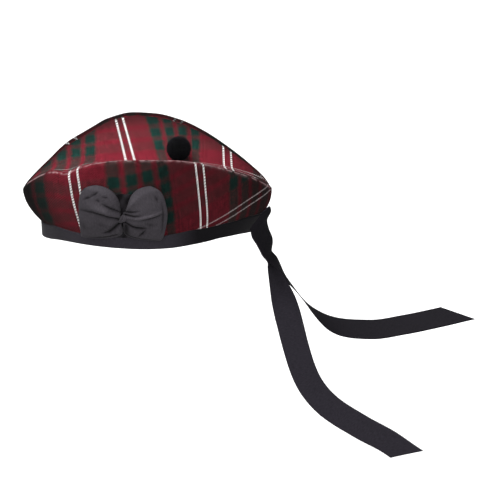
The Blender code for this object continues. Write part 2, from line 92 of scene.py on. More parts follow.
def stack(x: Array, y: Array, z: Array) -> Array:
    """Points from their three coordinates."""
    return np.stack(np.broadcast_arrays(x, y, z), axis=-1)


def mirrored(points: Array) -> Array:
    """Points moved to the same place on the cap's other side."""
    return points * np.array((1.0, -1.0, 1.0))


def ramp(value: Array, start: float, width: float) -> Array:
    """Straight change from 0 at start to 1 a width further on, which may be negative."""
    return np.clip((value - start) / width, 0.0, 1.0)


def bell(value: Array, middle: float, width: float) -> Array:
    """Bell curve of height 1."""
    return np.exp(-(((value - middle) / width) ** 2))


def shares(count: int) -> Array:
    """Even shares of a whole, the first above 0 and the last 1."""
    return np.linspace(0.0, 1.0, count + 1)[1:]


def unit(vectors: Array) -> Array:
    """Vectors scaled to length one."""
    return vectors / np.maximum(np.linalg.norm(vectors, axis=-1, keepdims=True), 1e-12)


def grid_normals(points: Array, closed: bool = False) -> Array:
    """Facing direction of each grid point: first direction crossed with the second."""
    first = np.gradient(points, axis=0)
    if closed:
        first = np.roll(points, -1, axis=0) - np.roll(points, 1, axis=0)
    return unit(np.cross(first, np.gradient(points, axis=1)))


def interpolate(coarse: Array, every: int) -> Array:
    """Straight-line values between the points of a coarse grid.

    Args:
        coarse: Grid of values, two grid directions first.
        every: Number of fine steps in each coarse step.

    Returns:
        The same values on the fine grid.
    """
    result = coarse
    for _ in range(2):
        count = (result.shape[0] - 1) * every + 1
        place = np.arange(count) / every
        cell = np.minimum(place.astype(int), result.shape[0] - 2)
        share = (place - cell)[:, None, None]
        result = result[cell] * (1.0 - share) + result[cell + 1] * share
        result = np.swapaxes(result, 0, 1)
    return result


def flatten(points: Array, rounds: int = 4000, gain: float = 0.11, braking: float = 0.97) -> Array:
    """Lay a curved grid flat, as the cloth was before it was sewn.

    Every side and diagonal of the grid pulls or pushes its two ends until it has the length that
    it has in space. The pulls gather speed and are braked a little in each round.

    Args:
        points: Coarse grid of points in space.
        rounds: Number of relaxing rounds.
        gain: Share of a pull that becomes speed.
        braking: Share of the speed that is kept from round to round.

    Returns:
        Flat coordinates of each grid point, first along the grid's first direction.
    """
    columns, rows = points.shape[:2]
    middle = rows // 2
    run = np.linalg.norm(np.diff(points, axis=0), axis=2).mean(axis=1)
    rise = np.linalg.norm(np.diff(points, axis=1), axis=2)
    across = np.concatenate((np.zeros((columns, 1)), np.cumsum(rise, axis=1)), axis=1)
    across -= across[:, middle:middle + 1]
    along = np.broadcast_to(np.concatenate(([0.0], np.cumsum(run)))[:, None], (columns, rows))
    flat = np.stack((along, across), axis=-1)
    most = slice(0, -1)
    rest = slice(1, None)
    whole = slice(None)
    pairs = (
        ((most, whole), (rest, whole)),
        ((whole, most), (whole, rest)),
        ((most, most), (rest, rest)),
        ((most, rest), (rest, most)),
    )
    lengths = [np.linalg.norm(points[b] - points[a], axis=-1) for a, b in pairs]
    speed = np.zeros_like(flat)
    for _ in range(rounds):
        pull = np.zeros_like(flat)
        for (a, b), length in zip(pairs, lengths):
            gap = flat[b] - flat[a]
            size = np.linalg.norm(gap, axis=-1) + 1e-12
            force = ((size - length) / size)[..., None] * gap
            pull[a] += force
            pull[b] -= force
        speed = braking * speed + gain * pull
        flat = flat + speed
    return flat


@dataclass(frozen=True)
class Table:
    """A short table of numbers with named columns, the first of which gives the place."""

    columns: tuple[str, ...]
    rows: tuple[tuple[float, ...], ...]

    def column(self, name: str) -> Array:
        """One column as an array."""
        return np.array([row[self.columns.index(name)] for row in self.rows], dtype=float)

    def at(self, place: Array, name: str) -> Array:
        """Smooth value of one column at places along the first one."""
        return smooth(place, self.column(self.columns[0]), self.column(name))

    def line(self, place: Array, name: str) -> Array:
        """Straight-line value of one column, carried on past both ends at the end slopes."""
        places = self.column(self.columns[0])
        values = self.column(name)
        inside = np.interp(place, places, values)
        first = (values[1] - values[0]) / (places[1] - places[0])
        last = (values[-1] - values[-2]) / (places[-1] - places[-2])
        below = np.minimum(place - places[0], 0.0) * first
        above = np.maximum(place - places[-1], 0.0) * last
        return inside + below + above


# The cap's form, which every piece on it follows

SECTIONS = Table(
    ("along", "spread", "rise", "dent", "roll", "belly", "dip", "lean"),
    (
        (0.000, 0.000, 0.000, 0.00, 0.45, 1.40, 1.00, 0.00),
        (0.015, 0.065, 0.104, 0.01, 0.47, 1.35, 0.92, 0.00),
        (0.042, 0.140, 0.225, 0.05, 0.55, 1.20, 0.76, 0.05),
        (0.089, 0.272, 0.400, 0.14, 0.70, 1.00, 0.48, 0.20),
        (0.142, 0.470, 0.563, 0.29, 0.88, 0.90, 0.30, 0.40),
        (0.203, 0.672, 0.704, 0.47, 1.00, 0.92, 0.18, 0.60),
        (0.265, 0.826, 0.824, 0.65, 0.92, 0.96, 0.10, 0.80),
        (0.330, 0.930, 0.932, 0.83, 0.68, 1.00, 0.04, 1.00),
        (0.430, 1.000, 1.000, 0.97, 0.48, 1.00, 0.00, 1.00),
        (0.527, 0.966, 0.990, 0.94, 0.44, 1.00, 0.00, 1.00),
        (0.626, 0.848, 0.929, 0.84, 0.44, 0.95, 0.00, 1.00),
        (0.725, 0.678, 0.792, 0.62, 0.44, 0.92, -0.04, 1.00),
        (0.823, 0.478, 0.585, 0.36, 0.44, 0.92, -0.04, 1.00),
        (0.920, 0.256, 0.330, 0.14, 0.42, 1.00, 0.18, 1.00),
        (0.977, 0.120, 0.130, 0.03, 0.40, 1.10, 0.50, 1.00),
        (1.000, 0.000, 0.000, 0.00, 0.40, 1.10, 0.73, 1.00),
    ),
)


@dataclass(frozen=True)
class CapForm:
    """Sizes of the cloth cap and the lines and surfaces that follow from them."""

    gap: float = 0.3 * MM
    wall: float = 1.6 * MM
    rim_length: float = 228.4 * MM
    rim_width: float = 143.6 * MM
    rim_roundness: float = 0.72
    rim_dip: float = 16.8 * MM
    crown_length: float = 268.4 * MM
    crown_width: float = 141.5 * MM
    peak_height: float = 100.2 * MM
    tip_height: float = 37.5 * MM
    dent_depth: float = 29.0 * MM
    dent_sharpness: float = 1.4
    belly: float = 4.0 * MM
    roll: float = 9.0 * MM
    seam_lap: float = 1.4 * MM
    seam_fold: float = 0.7 * MM
    turn_in: float = 4.5 * MM
    band_wall: float = 1.0 * MM
    band_height: float = 12.0 * MM
    sections: Table = SECTIONS
    side_steps: int = 32
    ridge_steps: int = 12
    seam_steps: int = 4
    crown_steps: int = 28

    def stations(self, count: int, crowding: float = 0.8) -> Array:
        """Lengthwise stations from 0 to 1, crowded towards both ends as a cosine does."""
        even = np.arange(count + 1) / count
        return crowding * (1.0 - np.cos(math.pi * even)) / 2.0 + (1.0 - crowding) * even

    def rim_line(self, along: Array) -> Array:
        """Lower edge of the left panel: a pointed oval in plan that lifts towards its ends."""
        share = np.clip(1.0 - (2.0 * along - 1.0) ** 2, 0.0, 1.0)
        half = self.rim_width / 2.0 * share**self.rim_roundness
        lift = self.band_wall + self.gap - self.rim_dip * self.sections.at(along, "dip")
        return stack((along - 0.5) * self.rim_length, -half, lift)

    def ridge_half(self, along: Array) -> Array:
        """Half-width between the two ridges."""
        return self.crown_width / 2.0 * self.sections.at(along, "spread")

    def crown_point(self, along: Array, inset: Array) -> Array:
        """Point of the crown's left half: a power curve from the ridge down into the dent.

        Args:
            along: Place along the cap, 0 at the front and 1 at the back.
            inset: Distance from the ridge towards the middle.

        Returns:
            The points in space.
        """
        half = self.ridge_half(along)
        share = np.clip(1.0 - inset / np.maximum(half, MM), 0.0, 1.0)
        depth = self.dent_depth * self.sections.at(along, "dent")
        ridge = self.tip_height + (self.peak_height - self.tip_height) * self.sections.at(along, "rise")
        height = ridge - depth * (1.0 - share**self.dent_sharpness)
        return stack((along - 0.5) * self.crown_length, inset - half, height)

    def ridge_line(self, along: Array) -> Array:
        """Line of the left ridge."""
        return self.crown_point(along, np.zeros_like(along))

    def roll_size(self, along: Array) -> Array:
        """How far the rounding of the ridge reaches on each side of it."""
        return self.roll * self.sections.at(along, "roll")

    def seam_inset(self, along: Array) -> Array:
        """Distance of the crown seam from the ridge, inside it."""
        return self.roll_size(along) + self.seam_lap

    def swell(self, along: Array) -> Array:
        """Outward level direction in which the side bellies: that of an oval's normal."""
        middle = 2.0 * along - 1.0
        return unit(stack(middle / self.rim_length, -(1.0 - middle**2) / self.rim_width, 0.0 * along))

    def band_top_line(self, along: Array) -> Array:
        """Line on the left panel at the band's upper edge."""
        rim = self.rim_line(along)
        chord = unit(self.ridge_line(along) - rim)
        lean = self.sections.at(along, "lean")[..., None]
        upright = np.array((0.0, 0.0, 1.0))
        return rim + (self.band_height + self.gap) * unit(chord * lean + upright * (1.0 - lean))

    def side_rows(self, along: Array) -> tuple[Array, Array]:
        """Rows of the left panel: up under the band, up the side, over the ridge and into the seam.

        The side is a straight rise with a parabola's belly, the ridge a quadratic Bezier arc from
        the side to the crown, and the seam a small quarter turn down followed by the turned-in edge.

        Args:
            along: Lengthwise stations.

        Returns:
            The grid of points, and the height share of each row, which is 1 on the ridge.
        """
        foot = self.band_top_line(along)
        rim = self.rim_line(along)
        ridge = self.ridge_line(along)
        rise = ridge - foot
        roll = self.roll_size(along)
        straight = 1.0 - roll[:, None] / np.linalg.norm(rise, axis=-1, keepdims=True)
        belly = (self.belly * self.sections.at(along, "belly"))[:, None] * self.swell(along)
        rows = [rim] + [rim + (foot - rim) * share for share in shares(self.seam_steps)]
        for share in shares(self.side_steps):
            up = straight * share
            rows.append(foot + rise * up + belly * 4.0 * up * (1.0 - up))
        start = rows[-1]
        end = self.crown_point(along, roll)
        for step in shares(self.ridge_steps):
            rows.append(start * (1.0 - step) ** 2 + ridge * 2.0 * step * (1.0 - step) + end * step**2)
        lap = self.seam_inset(along) - roll
        rows += [self.crown_point(along, roll + lap * share) for share in shares(self.seam_steps)]
        rows += self.turned_in(rows[-1], rows[-1] - rows[-2])
        height = np.concatenate((
            np.zeros(self.seam_steps),
            np.linspace(0.0, 0.9, self.side_steps + 1),
            0.9 + 0.2 * shares(self.ridge_steps),
            1.1 + 0.2 * shares(3 * self.seam_steps),
        ))
        return np.stack(rows, axis=1), height

    def turned_in(self, edge: Array, ahead: Array) -> list[Array]:
        """Rows that turn down from a seam edge: a quarter circle, then straight down."""
        ahead = unit(ahead)
        down = np.array((0.0, 0.0, -1.0))
        rows = []
        for angle in shares(self.seam_steps) * math.pi / 2.0:
            rows.append(edge + self.seam_fold * (math.sin(angle) * ahead + (1.0 - math.cos(angle)) * down))
        return rows + [rows[-1] + down * self.turn_in * share for share in shares(self.seam_steps)]

    def settled(self, points: Array) -> Array:
        """The same points with the left ridge sunk and the right one risen a little near the front.

        Each change is a bell curve along the cap that grows from the middle out to the ridge.
        """
        x, y, z = (points[..., axis] / MM for axis in range(3))
        left = bell(x, -81.0, 11.5) * ramp(y, 0.0, -28.0)
        right = bell(x, -88.0, 12.0) * ramp(y, 0.0, 28.0)
        return points + stack(0.0, 0.0, (1.8 * right - 4.6 * left) * ramp(z, 30.0, 30.0) * MM)

    def crown_rows(self, along: Array) -> Array:
        """Rows across the crown from the left seam through the dent to the right seam."""
        edge = self.seam_inset(along) + 2.0 * self.seam_fold + self.gap / 3.0
        half = self.ridge_half(along)
        insets = [half - (half - edge) * share for share in np.linspace(1.0, 0.0, self.crown_steps + 1)]
        rows = [self.crown_point(along, inset) for inset in insets]
        left = np.stack(self.turned_in(rows[0], rows[0] - rows[1])[::-1] + rows, axis=1)
        left[:, -1, 1] = 0.0
        return np.concatenate((left, mirrored(left[:, -2::-1])), axis=1)

    def side_place(self, x: Array, z: Array) -> Array:
        """Place across the cap of the left panel's face at a side-view point above the band.

        Args:
            x: Place along the cap.
            z: Height.

        Returns:
            The face's place across the cap, found by eight rounds of correction.
        """
        along = np.full(np.shape(x), 0.5)
        for _ in range(8):
            foot = self.band_top_line(along)
            ridge = self.ridge_line(along)
            up = (z - foot[..., 2]) / (ridge[..., 2] - foot[..., 2])
            length = (ridge[..., 0] * up + foot[..., 0] * (1.0 - up)) / (along - 0.5 + 1e-9)
            along = np.where(np.abs(along - 0.5) < 0.01, 0.5 + x / self.crown_length, 0.5 + x / length)
        bulge = self.belly * self.sections.at(along, "belly") * 4.0 * up * (1.0 - up)
        return foot[..., 1] * (1.0 - up) + ridge[..., 1] * up + bulge * self.swell(along)[..., 1]

    def on_side(self, x: Array, z: Array, stand: Array) -> Array:
        """Points that stand out from the left panel, along its normal, at side-view places."""
        step = 0.5 * MM
        y = self.side_place(x, z)
        slope_x = (self.side_place(x + step, z) - y) / step
        slope_z = (self.side_place(x, z + step) - y) / step
        return stack(x, y, z) + unit(stack(slope_x, -1.0, slope_z)) * np.asarray(stand)[..., None]


# Meshes

@dataclass
class SheetMesh:
    """A sheet of cloth as a closed shell: an outer grid, an inner grid and the edges between.

    The grid's first direction crossed with its second points out of the outer face.
    """

    name: str
    outer: Array
    inner: Array
    uv: Array
    masks: dict[str, Array]
    closed: bool = False

    def corners(self) -> Array:
        """Quads of the shell as vertex numbers: outer face, inner face and the open edges."""
        columns, rows = self.outer.shape[:2]
        index = np.arange(columns * rows).reshape(columns, rows)
        index = ringed(index) if self.closed else index
        faces = [cells(index), cells(index)[:, ::-1] + columns * rows]
        ends = [] if self.closed else [index[0, ::-1], index[-1]]
        for side in [index[:, 0], index[::-1, -1], *ends]:
            faces.append(cells(np.stack((side, side + columns * rows))))
        return np.concatenate(faces)

    def build(self) -> bpy.types.Object:
        """Make the object, with its UV map and its masks."""
        points = np.concatenate((self.outer.reshape(-1, 3), self.inner.reshape(-1, 3)))
        uv = np.concatenate((self.uv.reshape(-1, 2),) * 2)
        masks = {key: np.concatenate((mask.ravel(),) * 2) for key, mask in self.masks.items()}
        return mesh_object(self.name, points, [self.corners()], masks, uv)


def cells(index: Array) -> Array:
    """Quads between the neighbours in a grid of vertex numbers."""
    corners = (index[:-1, :-1], index[1:, :-1], index[1:, 1:], index[:-1, 1:])
    return np.stack(corners, axis=-1).reshape(-1, 4)


def ringed(index: Array) -> Array:
    """A grid of vertex numbers that ends with the first ones again."""
    return np.concatenate((index, index[:1]))


def ribbon(
    name: str, middle: Array, wall: float, uv: Array, painted_ribbon_shade: Array, closed: bool = False
) -> bpy.types.Object:
    """Make a ribbon of even thickness around its middle surface.

    Args:
        name: The object's name.
        middle: Grid of points.
        wall: Thickness.
        uv: Places along and across the ribbon, in metres.
        painted_ribbon_shade: Painted shade at each point, negative for a painted highlight.
        closed: Whether the grid's first direction comes round to its start.

    Returns:
        The new object, linked to the scene.
    """
    half = grid_normals(middle, closed) * wall / 2.0
    return SheetMesh(name, middle + half, middle - half, uv, {"painted_ribbon_shade": painted_ribbon_shade}, closed).build()


def linked(name: str, data: bpy.types.ID) -> bpy.types.Object:
    """A new object in the scene."""
    new = bpy.data.objects.new(name, data)
    bpy.context.scene.collection.objects.link(new)
    return new


def mesh_object(
    name: str, points: Array, faces: list[Array], masks: dict[str, Array], uv: Array | None = None
) -> bpy.types.Object:
    """Make a smooth-shaded object from whole arrays.

    Args:
        name: The object's name.
        points: One row of coordinates for each vertex.
        faces: Blocks of faces, one row of vertex numbers for each face.
        masks: Named values of each vertex.
        uv: UV coordinates of each vertex.

    Returns:
        The new object, linked to the scene.
    """
    mesh = bpy.data.meshes.new(name)
    mesh.from_pydata(points.tolist(), [], [face for block in faces for face in block.tolist()])
    mesh.shade_smooth()
    if uv is not None:
        order = np.concatenate([block.ravel() for block in faces])
        layer = mesh.uv_layers.new(name="Cloth")
        layer.data.foreach_set("uv", uv[order].astype(np.float32).ravel())
    for key, mask in masks.items():
        mesh.attributes.new(key, "FLOAT", "POINT").data.foreach_set("value", mask.astype(np.float32))
    mesh.update()
    return linked(name, mesh)


def spans(points: Array) -> Array:
    """Distances walked along both directions of a grid, each from zero at its own start."""
    walked = []
    for axis in range(2):
        steps = np.linalg.norm(np.diff(points, axis=axis), axis=-1)
        first = np.zeros_like(np.take(steps, [0], axis=axis))
        walked.append(np.cumsum(np.concatenate((first, steps), axis=axis), axis=axis))
    return np.stack(walked, axis=-1)


# Finishes

def arithmetic(operation: str, swapped: bool = False) -> Callable[["Value", object], "Value"]:
    """A method that adds one Math node, with its two values swapped if asked."""

    def method(self: "Value", other: object) -> "Value":
        """The result of the node on this value and another."""
        return self.graph.math(operation, *((other, self) if swapped else (self, other)))

    return method


@dataclass(frozen=True, eq=False)
class Value:
    """A node's output, on which plain arithmetic adds Math nodes."""

    graph: "Graph"
    socket: bpy.types.NodeSocket

    __add__ = __radd__ = arithmetic("ADD")
    __mul__ = __rmul__ = arithmetic("MULTIPLY")
    __sub__ = arithmetic("SUBTRACT")
    __rsub__ = arithmetic("SUBTRACT", swapped=True)
    __truediv__ = arithmetic("DIVIDE")
    __mod__ = arithmetic("FLOORED_MODULO")
    __lt__ = arithmetic("LESS_THAN")
    __gt__ = arithmetic("GREATER_THAN")


class Graph:
    """Short calls that add shader nodes to one tree and join them."""

    def __init__(self, tree: bpy.types.NodeTree) -> None:
        """Work on one node tree."""
        self.tree = tree

    def feed(self, node: bpy.types.Node, values: dict[object, object]) -> None:
        """Join a node's inputs to outputs, or set them to plain values."""
        for key, value in values.items():
            socket = node.inputs[key]
            if isinstance(value, Value):
                self.tree.links.new(value.socket, socket)
            elif isinstance(value, tuple) and len(value) == 3 and socket.type == "RGBA":
                socket.default_value = (*value, 1.0)
            else:
                socket.default_value = value

    def node(self, kind: str, values: dict[object, object], output: object = 0, **settings: object) -> Value:
        """Add a node.

        Args:
            kind: The node's type.
            values: What its inputs are given, by name or number.
            output: Name or number of the output to return.
            settings: Its other settings.

        Returns:
            The output's value.
        """
        node = self.tree.nodes.new(kind)
        for key, setting in settings.items():
            setattr(node, key, setting)
        self.feed(node, values)
        return Value(self, node.outputs[output])

    def math(self, operation: str, *values: object) -> Value:
        """One arithmetic step on up to three values."""
        return self.node("ShaderNodeMath", dict(enumerate(values)), operation=operation)

    def mix(self, share: object, first: object, second: object, blend: str = "MIX") -> Value:
        """A blend of two colours."""
        values = {0: share, 6: first, 7: second}
        return self.node("ShaderNodeMix", values, 2, data_type="RGBA", blend_type=blend)

    def shaded(self, colour: object, tone: object) -> Value:
        """A colour multiplied by a tone."""
        return self.mix(1.0, colour, self.join(tone, tone, tone), "MULTIPLY")

    def parts(self, vector: Value) -> tuple[Value, Value]:
        """First and second coordinate of a vector."""
        return tuple(self.node("ShaderNodeSeparateXYZ", {0: vector}, axis) for axis in (0, 1))

    def join(self, x: object, y: object, z: object = 0.0) -> Value:
        """A vector from its coordinates."""
        return self.node("ShaderNodeCombineXYZ", {0: x, 1: y, 2: z})

    def noise(self, vector: Value, scale: float, detail: float = 2.0) -> Value:
        """Soft noise around one half."""
        values = {"Vector": vector, "Scale": scale, "Detail": detail}
        return self.node("ShaderNodeTexNoise", values, noise_dimensions="3D")

    def mask(self, name: str) -> Value:
        """A named value of the mesh's vertices, 0 where the mesh has none."""
        return self.node("ShaderNodeAttribute", {}, "Fac", attribute_name=name)

    def cloth(self) -> Value:
        """Place on the cloth."""
        return self.node("ShaderNodeUVMap", {}, uv_map="Cloth")

    def bump(self, height: Value, distance: float, strength: float) -> Value:
        """A normal bent by a height, with its depth in metres."""
        return self.node("ShaderNodeBump", {"Height": height, "Distance": distance, "Strength": strength})

    def use(self, group: bpy.types.NodeTree, values: dict[object, object]) -> list[Value]:
        """Add a node group and return its outputs."""
        node = self.tree.nodes.new("ShaderNodeGroup")
        node.node_tree = group
        self.feed(node, values)
        return [Value(self, output) for output in node.outputs]

    def steps(self, place: Value, stops: list[tuple[float, Colour]], soft: float) -> Value:
        """Colour bands side by side.

        Args:
            place: Where the bands are read, from 0 to 1.
            stops: Start and colour of each band.
            soft: Width of the change from one band to the next, 0 for a hard edge.

        Returns:
            The colour.
        """
        node = self.tree.nodes.new("ShaderNodeValToRGB")
        node.color_ramp.interpolation = "LINEAR" if soft else "CONSTANT"
        if soft:
            softened = stops[:1]
            for (_, before), (start, after) in zip(stops, stops[1:]):
                softened += [(start - soft / 2.0, before), (start + soft / 2.0, after)]
            stops = softened
        elements = node.color_ramp.elements
        while len(elements) < len(stops):
            elements.new(1.0)
        for element, (start, colour) in zip(elements, stops):
            element.position = start
            element.color = (*colour, 1.0)
        self.feed(node, {0: place})
        return Value(self, node.outputs[0])


@dataclass(frozen=True)
class Sett:
    """Thread counts of half a repeat of the tartan, from the pair of white lines to the green bars."""

    red_between: int = 5
    white: int = 3
    red_ground: int = 39
    green_outer: int = 21
    red_gap: int = 8
    green_inner: int = 18
    red_centre: int = 4

    def half(self) -> int:
        """Threads in half a repeat."""
        return sum(count for count, _ in self.bands())

    def bands(self) -> list[tuple[int, Colour]]:
        """Width of each band and its mask: red channel for green yarn, green channel for white."""
        ground = (0.0, 0.0, 0.0)
        bar = (1.0, 0.0, 0.0)
        line = (0.0, 1.0, 0.0)
        return [
            (self.red_between, ground),
            (self.white, line),
            (self.red_ground, ground),
            (self.green_outer, bar),
            (self.red_gap, ground),
            (self.green_inner, bar),
            (self.red_centre, ground),
        ]

    def stops(self) -> list[tuple[float, Colour]]:
        """Start of each band as a share of the half repeat, with its mask."""
        starts = np.cumsum([0] + [count for count, _ in self.bands()[:-1]]) / self.half()
        return [(float(start), mask) for start, (_, mask) in zip(starts, self.bands())]


SOCKETS = {type(None): "NodeSocketVector", tuple: "NodeSocketColor", float: "NodeSocketFloat"}


class Group(Graph):
    """A new shader node group."""

    def __init__(self, name: str, inputs: dict[str, object]) -> None:
        """Start the group with inputs that are vectors for None, colours for a tuple, else numbers."""
        super().__init__(bpy.data.node_groups.new(name, "ShaderNodeTree"))
        for title, start in inputs.items():
            kind = SOCKETS[type(start)]
            socket = self.tree.interface.new_socket(name=title, in_out="INPUT", socket_type=kind)
            if start is not None:
                socket.default_value = (*start, 1.0) if isinstance(start, tuple) else start
        given = self.tree.nodes.new("NodeGroupInput")
        self.given = {title: Value(self, given.outputs[title]) for title in inputs}

    def finish(self, **outputs: Value) -> bpy.types.NodeTree:
        """Name the outputs and join them to their values."""
        for title, value in outputs.items():
            kind = SOCKETS[tuple if value.socket.type == "RGBA" else float]
            self.tree.interface.new_socket(name=title, in_out="OUTPUT", socket_type=kind)
        self.feed(self.tree.nodes.new("NodeGroupOutput"), outputs)
        return self.tree


class Surface(Graph):
    """The node tree of a new material."""

    def __init__(self, name: str) -> None:
        """Start the material, with its shader."""
        self.material = bpy.data.materials.new(name)
        self.material.use_nodes = True
        super().__init__(self.material.node_tree)
        self.shader = self.tree.nodes["Principled BSDF"]

    def finish(self, values: dict[str, object]) -> bpy.types.Material:
        """Fill the shader's inputs."""
        self.feed(self.shader, values)
        return self.material


def tartan_group(sett: Sett) -> bpy.types.NodeTree:
    """Node group of the woven tartan, read in threads along and across the cloth.

    Each thread has one colour from the sett. A 2/2 twill lets the warp show where the thread
    numbers' difference, counted in fours, is 0 or 1, and the weft elsewhere. White warp shows on a
    steeper slant, which gives it the look of a rope. A float's height is a half sine across the
    yarn times a half sine along its two threads.

    Args:
        sett: Thread counts of the pattern.

    Returns:
        The group, with outputs Color and Height.
    """
    graph = Group("Tartan twill", {
        "Weave": None,
        "Red": (0.2, 0.01, 0.02),
        "Green": (0.01, 0.04, 0.03),
        "White": (0.7, 0.7, 0.7),
        "White Weft": (0.4, 0.35, 0.36),
        "Crowding": 0.1,
        "White Crowding": 0.3,
        "Weft Shade": 0.5,
        "Felting": 8.0,
        "Shade": 0.0,
        "Streaks": 1.1,
        "Fade": 0.0,
    })
    given = graph.given
    half = float(sett.half())
    bar_edge = 6.0 / half
    u, v = graph.parts(given["Weave"])
    warp = graph.math("FLOOR", u)
    weft = graph.math("FLOOR", v)
    stray = graph.noise(given["Weave"], 0.22, 3.0) - 0.5
    light = 1.0 - given["Shade"]
    # Painted shade: one input darkens the red and green yarn, the other the white lines.
    pale = 1.0 - given["Fade"]
    colours = []
    lines = []
    for thread, white, quick, slow, more in ((warp, "White", u, v, 1.0), (weft, "White Weft", v, u, 2.0)):
        masks = []
        for wander, soft, channel in ((given["Felting"], bar_edge, "Red"), (0.0, 0.0, "Green")):
            place = graph.math("PINGPONG", stray * wander + (thread + 0.5), half) / half
            bands = graph.steps(place, sett.stops(), soft)
            masks.append(graph.node("ShaderNodeSeparateColor", {0: bands}, channel))
        bar, line = masks
        lines.append(line)
        colour = graph.mix(bar, given["Red"], given["Green"])
        streak = graph.noise(graph.join(quick * 0.55, slow * 0.05), 1.0) - 0.5
        colour = graph.shaded(colour, (streak * (given["Streaks"] * more) + 1.0) * light)
        colour = graph.mix(line, colour, graph.shaded(given[white], pale))
        own_tone = graph.node("ShaderNodeTexWhiteNoise", {"W": thread}, noise_dimensions="1D")
        colours.append(graph.shaded(colour, own_tone * 0.3 + 0.85))
    twill = (warp - weft) % 4.0 < 2.0
    rope = (warp * 0.6 - weft) % 5.0 < 3.1
    over = lines[0] * (rope - twill) + twill
    crowding = lines[0] * given["White Crowding"] + given["Crowding"]
    crowded = graph.math("ABSOLUTE", u - warp - 0.5) > 0.5 - crowding
    heights = []
    for across, run in ((u - warp, (warp + 1.0 - v) % 4.0), (v - weft, (u - weft) % 4.0 - 2.0)):
        float_rise = graph.math("MAXIMUM", graph.math("SINE", run * (math.pi / 2.0)), 0.0)
        heights.append(graph.math("SINE", across * math.pi) * (float_rise * 0.65 + 0.35))
    crest = graph.node("ShaderNodeMix", {0: over, 2: heights[1], 3: heights[0]}, data_type="FLOAT")
    height = graph.noise(given["Weave"], 2.3, 3.0) * 0.35 + crest
    shown = graph.math("MAXIMUM", over, crowded)
    # Painted shade between the threads: the weft is darkened where it lies under the warp, and all yarn
    # where it lies low.
    colour = graph.mix(shown, graph.shaded(colours[1], given["Weft Shade"]), colours[0])
    return graph.finish(Color=graph.shaded(colour, height * 0.5 + 0.55), Height=height)


def ribbon_group() -> bpy.types.NodeTree:
    """Node group of corded ribbon, read in metres along and across it.

    Ribs run across the ribbon as a sine of the length, crossed by a finer sine and broken by
    stretched noise. Slow noise mottles the tone.

    Returns:
        The group, with outputs Tone and Height.
    """
    graph = Group("Corded ribbon", {
        "Ribbon": None,
        "Ribs per Metre": 1800.0,
        "Crossings per Metre": 3200.0,
        "Mottle": 0.2,
    })
    given = graph.given
    length, across = graph.parts(given["Ribbon"])
    rib = graph.math("SINE", length * given["Ribs per Metre"] * (2.0 * math.pi))
    crossing = graph.math("SINE", across * given["Crossings per Metre"] * (2.0 * math.pi))
    grain = graph.noise(graph.join(length * 900.0, across * 260.0), 1.0)
    cloudy = graph.noise(graph.join(length, across), 45.0, 3.0)
    tone = (cloudy - 0.5) * given["Mottle"] + 1.0 + rib * 0.10 + (grain - 0.5) * 0.9
    return graph.finish(Tone=tone, Height=grain * 0.6 + rib * 0.5 + crossing * 0.12)


@dataclass(frozen=True)
class TartanWool:
    """Milled wool tartan with a soft nap, with a painted highlight along the left ridge where its mask says
    so.
    """

    name: str = "tartan_wool"
    red: Colour = (0.250, 0.016, 0.032)
    green: Colour = (0.008, 0.046, 0.037)
    white: Colour = (0.98, 0.96, 0.95)
    white_weft: Colour = (0.90, 0.76, 0.76)
    # Colour of the painted highlight on the left ridge.
    highlight_colour: Colour = (0.38, 0.23, 0.24)
    nap: Colour = (0.9, 0.6, 0.6)
    roughness: float = 0.93
    relief: float = 0.22 * MM
    crowding: float = 0.08
    white_crowding: float = -0.06
    weft_shade: float = 0.55
    sheen: float = 0.02
    strongest_highlight: float = 0.8
    palest_fleck: float = 1.12

    def material(self, group: bpy.types.NodeTree) -> bpy.types.Material:
        """Build the finish from the tartan group."""
        graph = Surface(self.name)
        colour, height = graph.use(group, {
            "Weave": graph.cloth(),
            "Red": self.red,
            "Green": self.green,
            "White": self.white,
            "White Weft": self.white_weft,
            "Crowding": self.crowding,
            "White Crowding": self.white_crowding,
            "Weft Shade": self.weft_shade,
            # Painted shade on the red and green yarn, from the mesh's mask.
            "Shade": graph.mask("painted_wool_shade"),
            # Painted shade on the white lines, from the mesh's mask.
            "Fade": graph.mask("painted_white_shade"),
        })
        place = graph.node("ShaderNodeTexCoord", {}, "Object")
        # Painted highlight along the left ridge, broken into noisy patches.
        highlight_patches = graph.math("MINIMUM", (graph.noise(place, 240.0, 3.0) - 0.38) * 4.0, self.strongest_highlight)
        colour = graph.mix(graph.mask("painted_ridge_highlight") * graph.math("MAXIMUM", highlight_patches, 0.0), colour, self.highlight_colour)
        flecks = graph.math("MINIMUM", graph.noise(place, 650.0, 1.0) * 1.5 + 0.25, self.palest_fleck)
        heather = (graph.noise(place, 150.0, 4.0) * 0.8 + 0.6) * flecks
        return graph.finish({
            "Base Color": graph.shaded(colour, heather),
            "Normal": graph.bump(height, self.relief, 0.8),
            "Roughness": self.roughness,
            "Specular IOR Level": 0.12,
            "Sheen Weight": self.sheen,
            "Sheen Roughness": 0.45,
            "Sheen Tint": self.nap,
        })


@dataclass(frozen=True)
class Ribbon:
    """Dark corded ribbon, darker where its mask paints shade and lighter where it paints a highlight."""

    name: str
    colour: Colour
    roughness: float = 0.72
    ribs: float = 1500.0
    relief: float = 0.10 * MM
    mottle: float = 0.25
    sheen: float = 0.10
    # Strength of the painted shade given by the mask.
    painted_shade_strength: float = 0.75

    def material(self, group: bpy.types.NodeTree) -> bpy.types.Material:
        """Build the finish from the ribbon group."""
        graph = Surface(self.name)
        values = {"Ribbon": graph.cloth(), "Ribs per Metre": self.ribs, "Mottle": self.mottle}
        tone, height = graph.use(group, values)
        return graph.finish({
            "Base Color": graph.shaded(self.colour, tone * (graph.mask("painted_ribbon_shade") * -self.painted_shade_strength + 1.0)),
            "Normal": graph.bump(height, self.relief, 0.7),
            "Roughness": self.roughness,
            "Specular IOR Level": 0.07,
            "Sheen Weight": self.sheen,
            "Sheen Roughness": 0.4,
        })


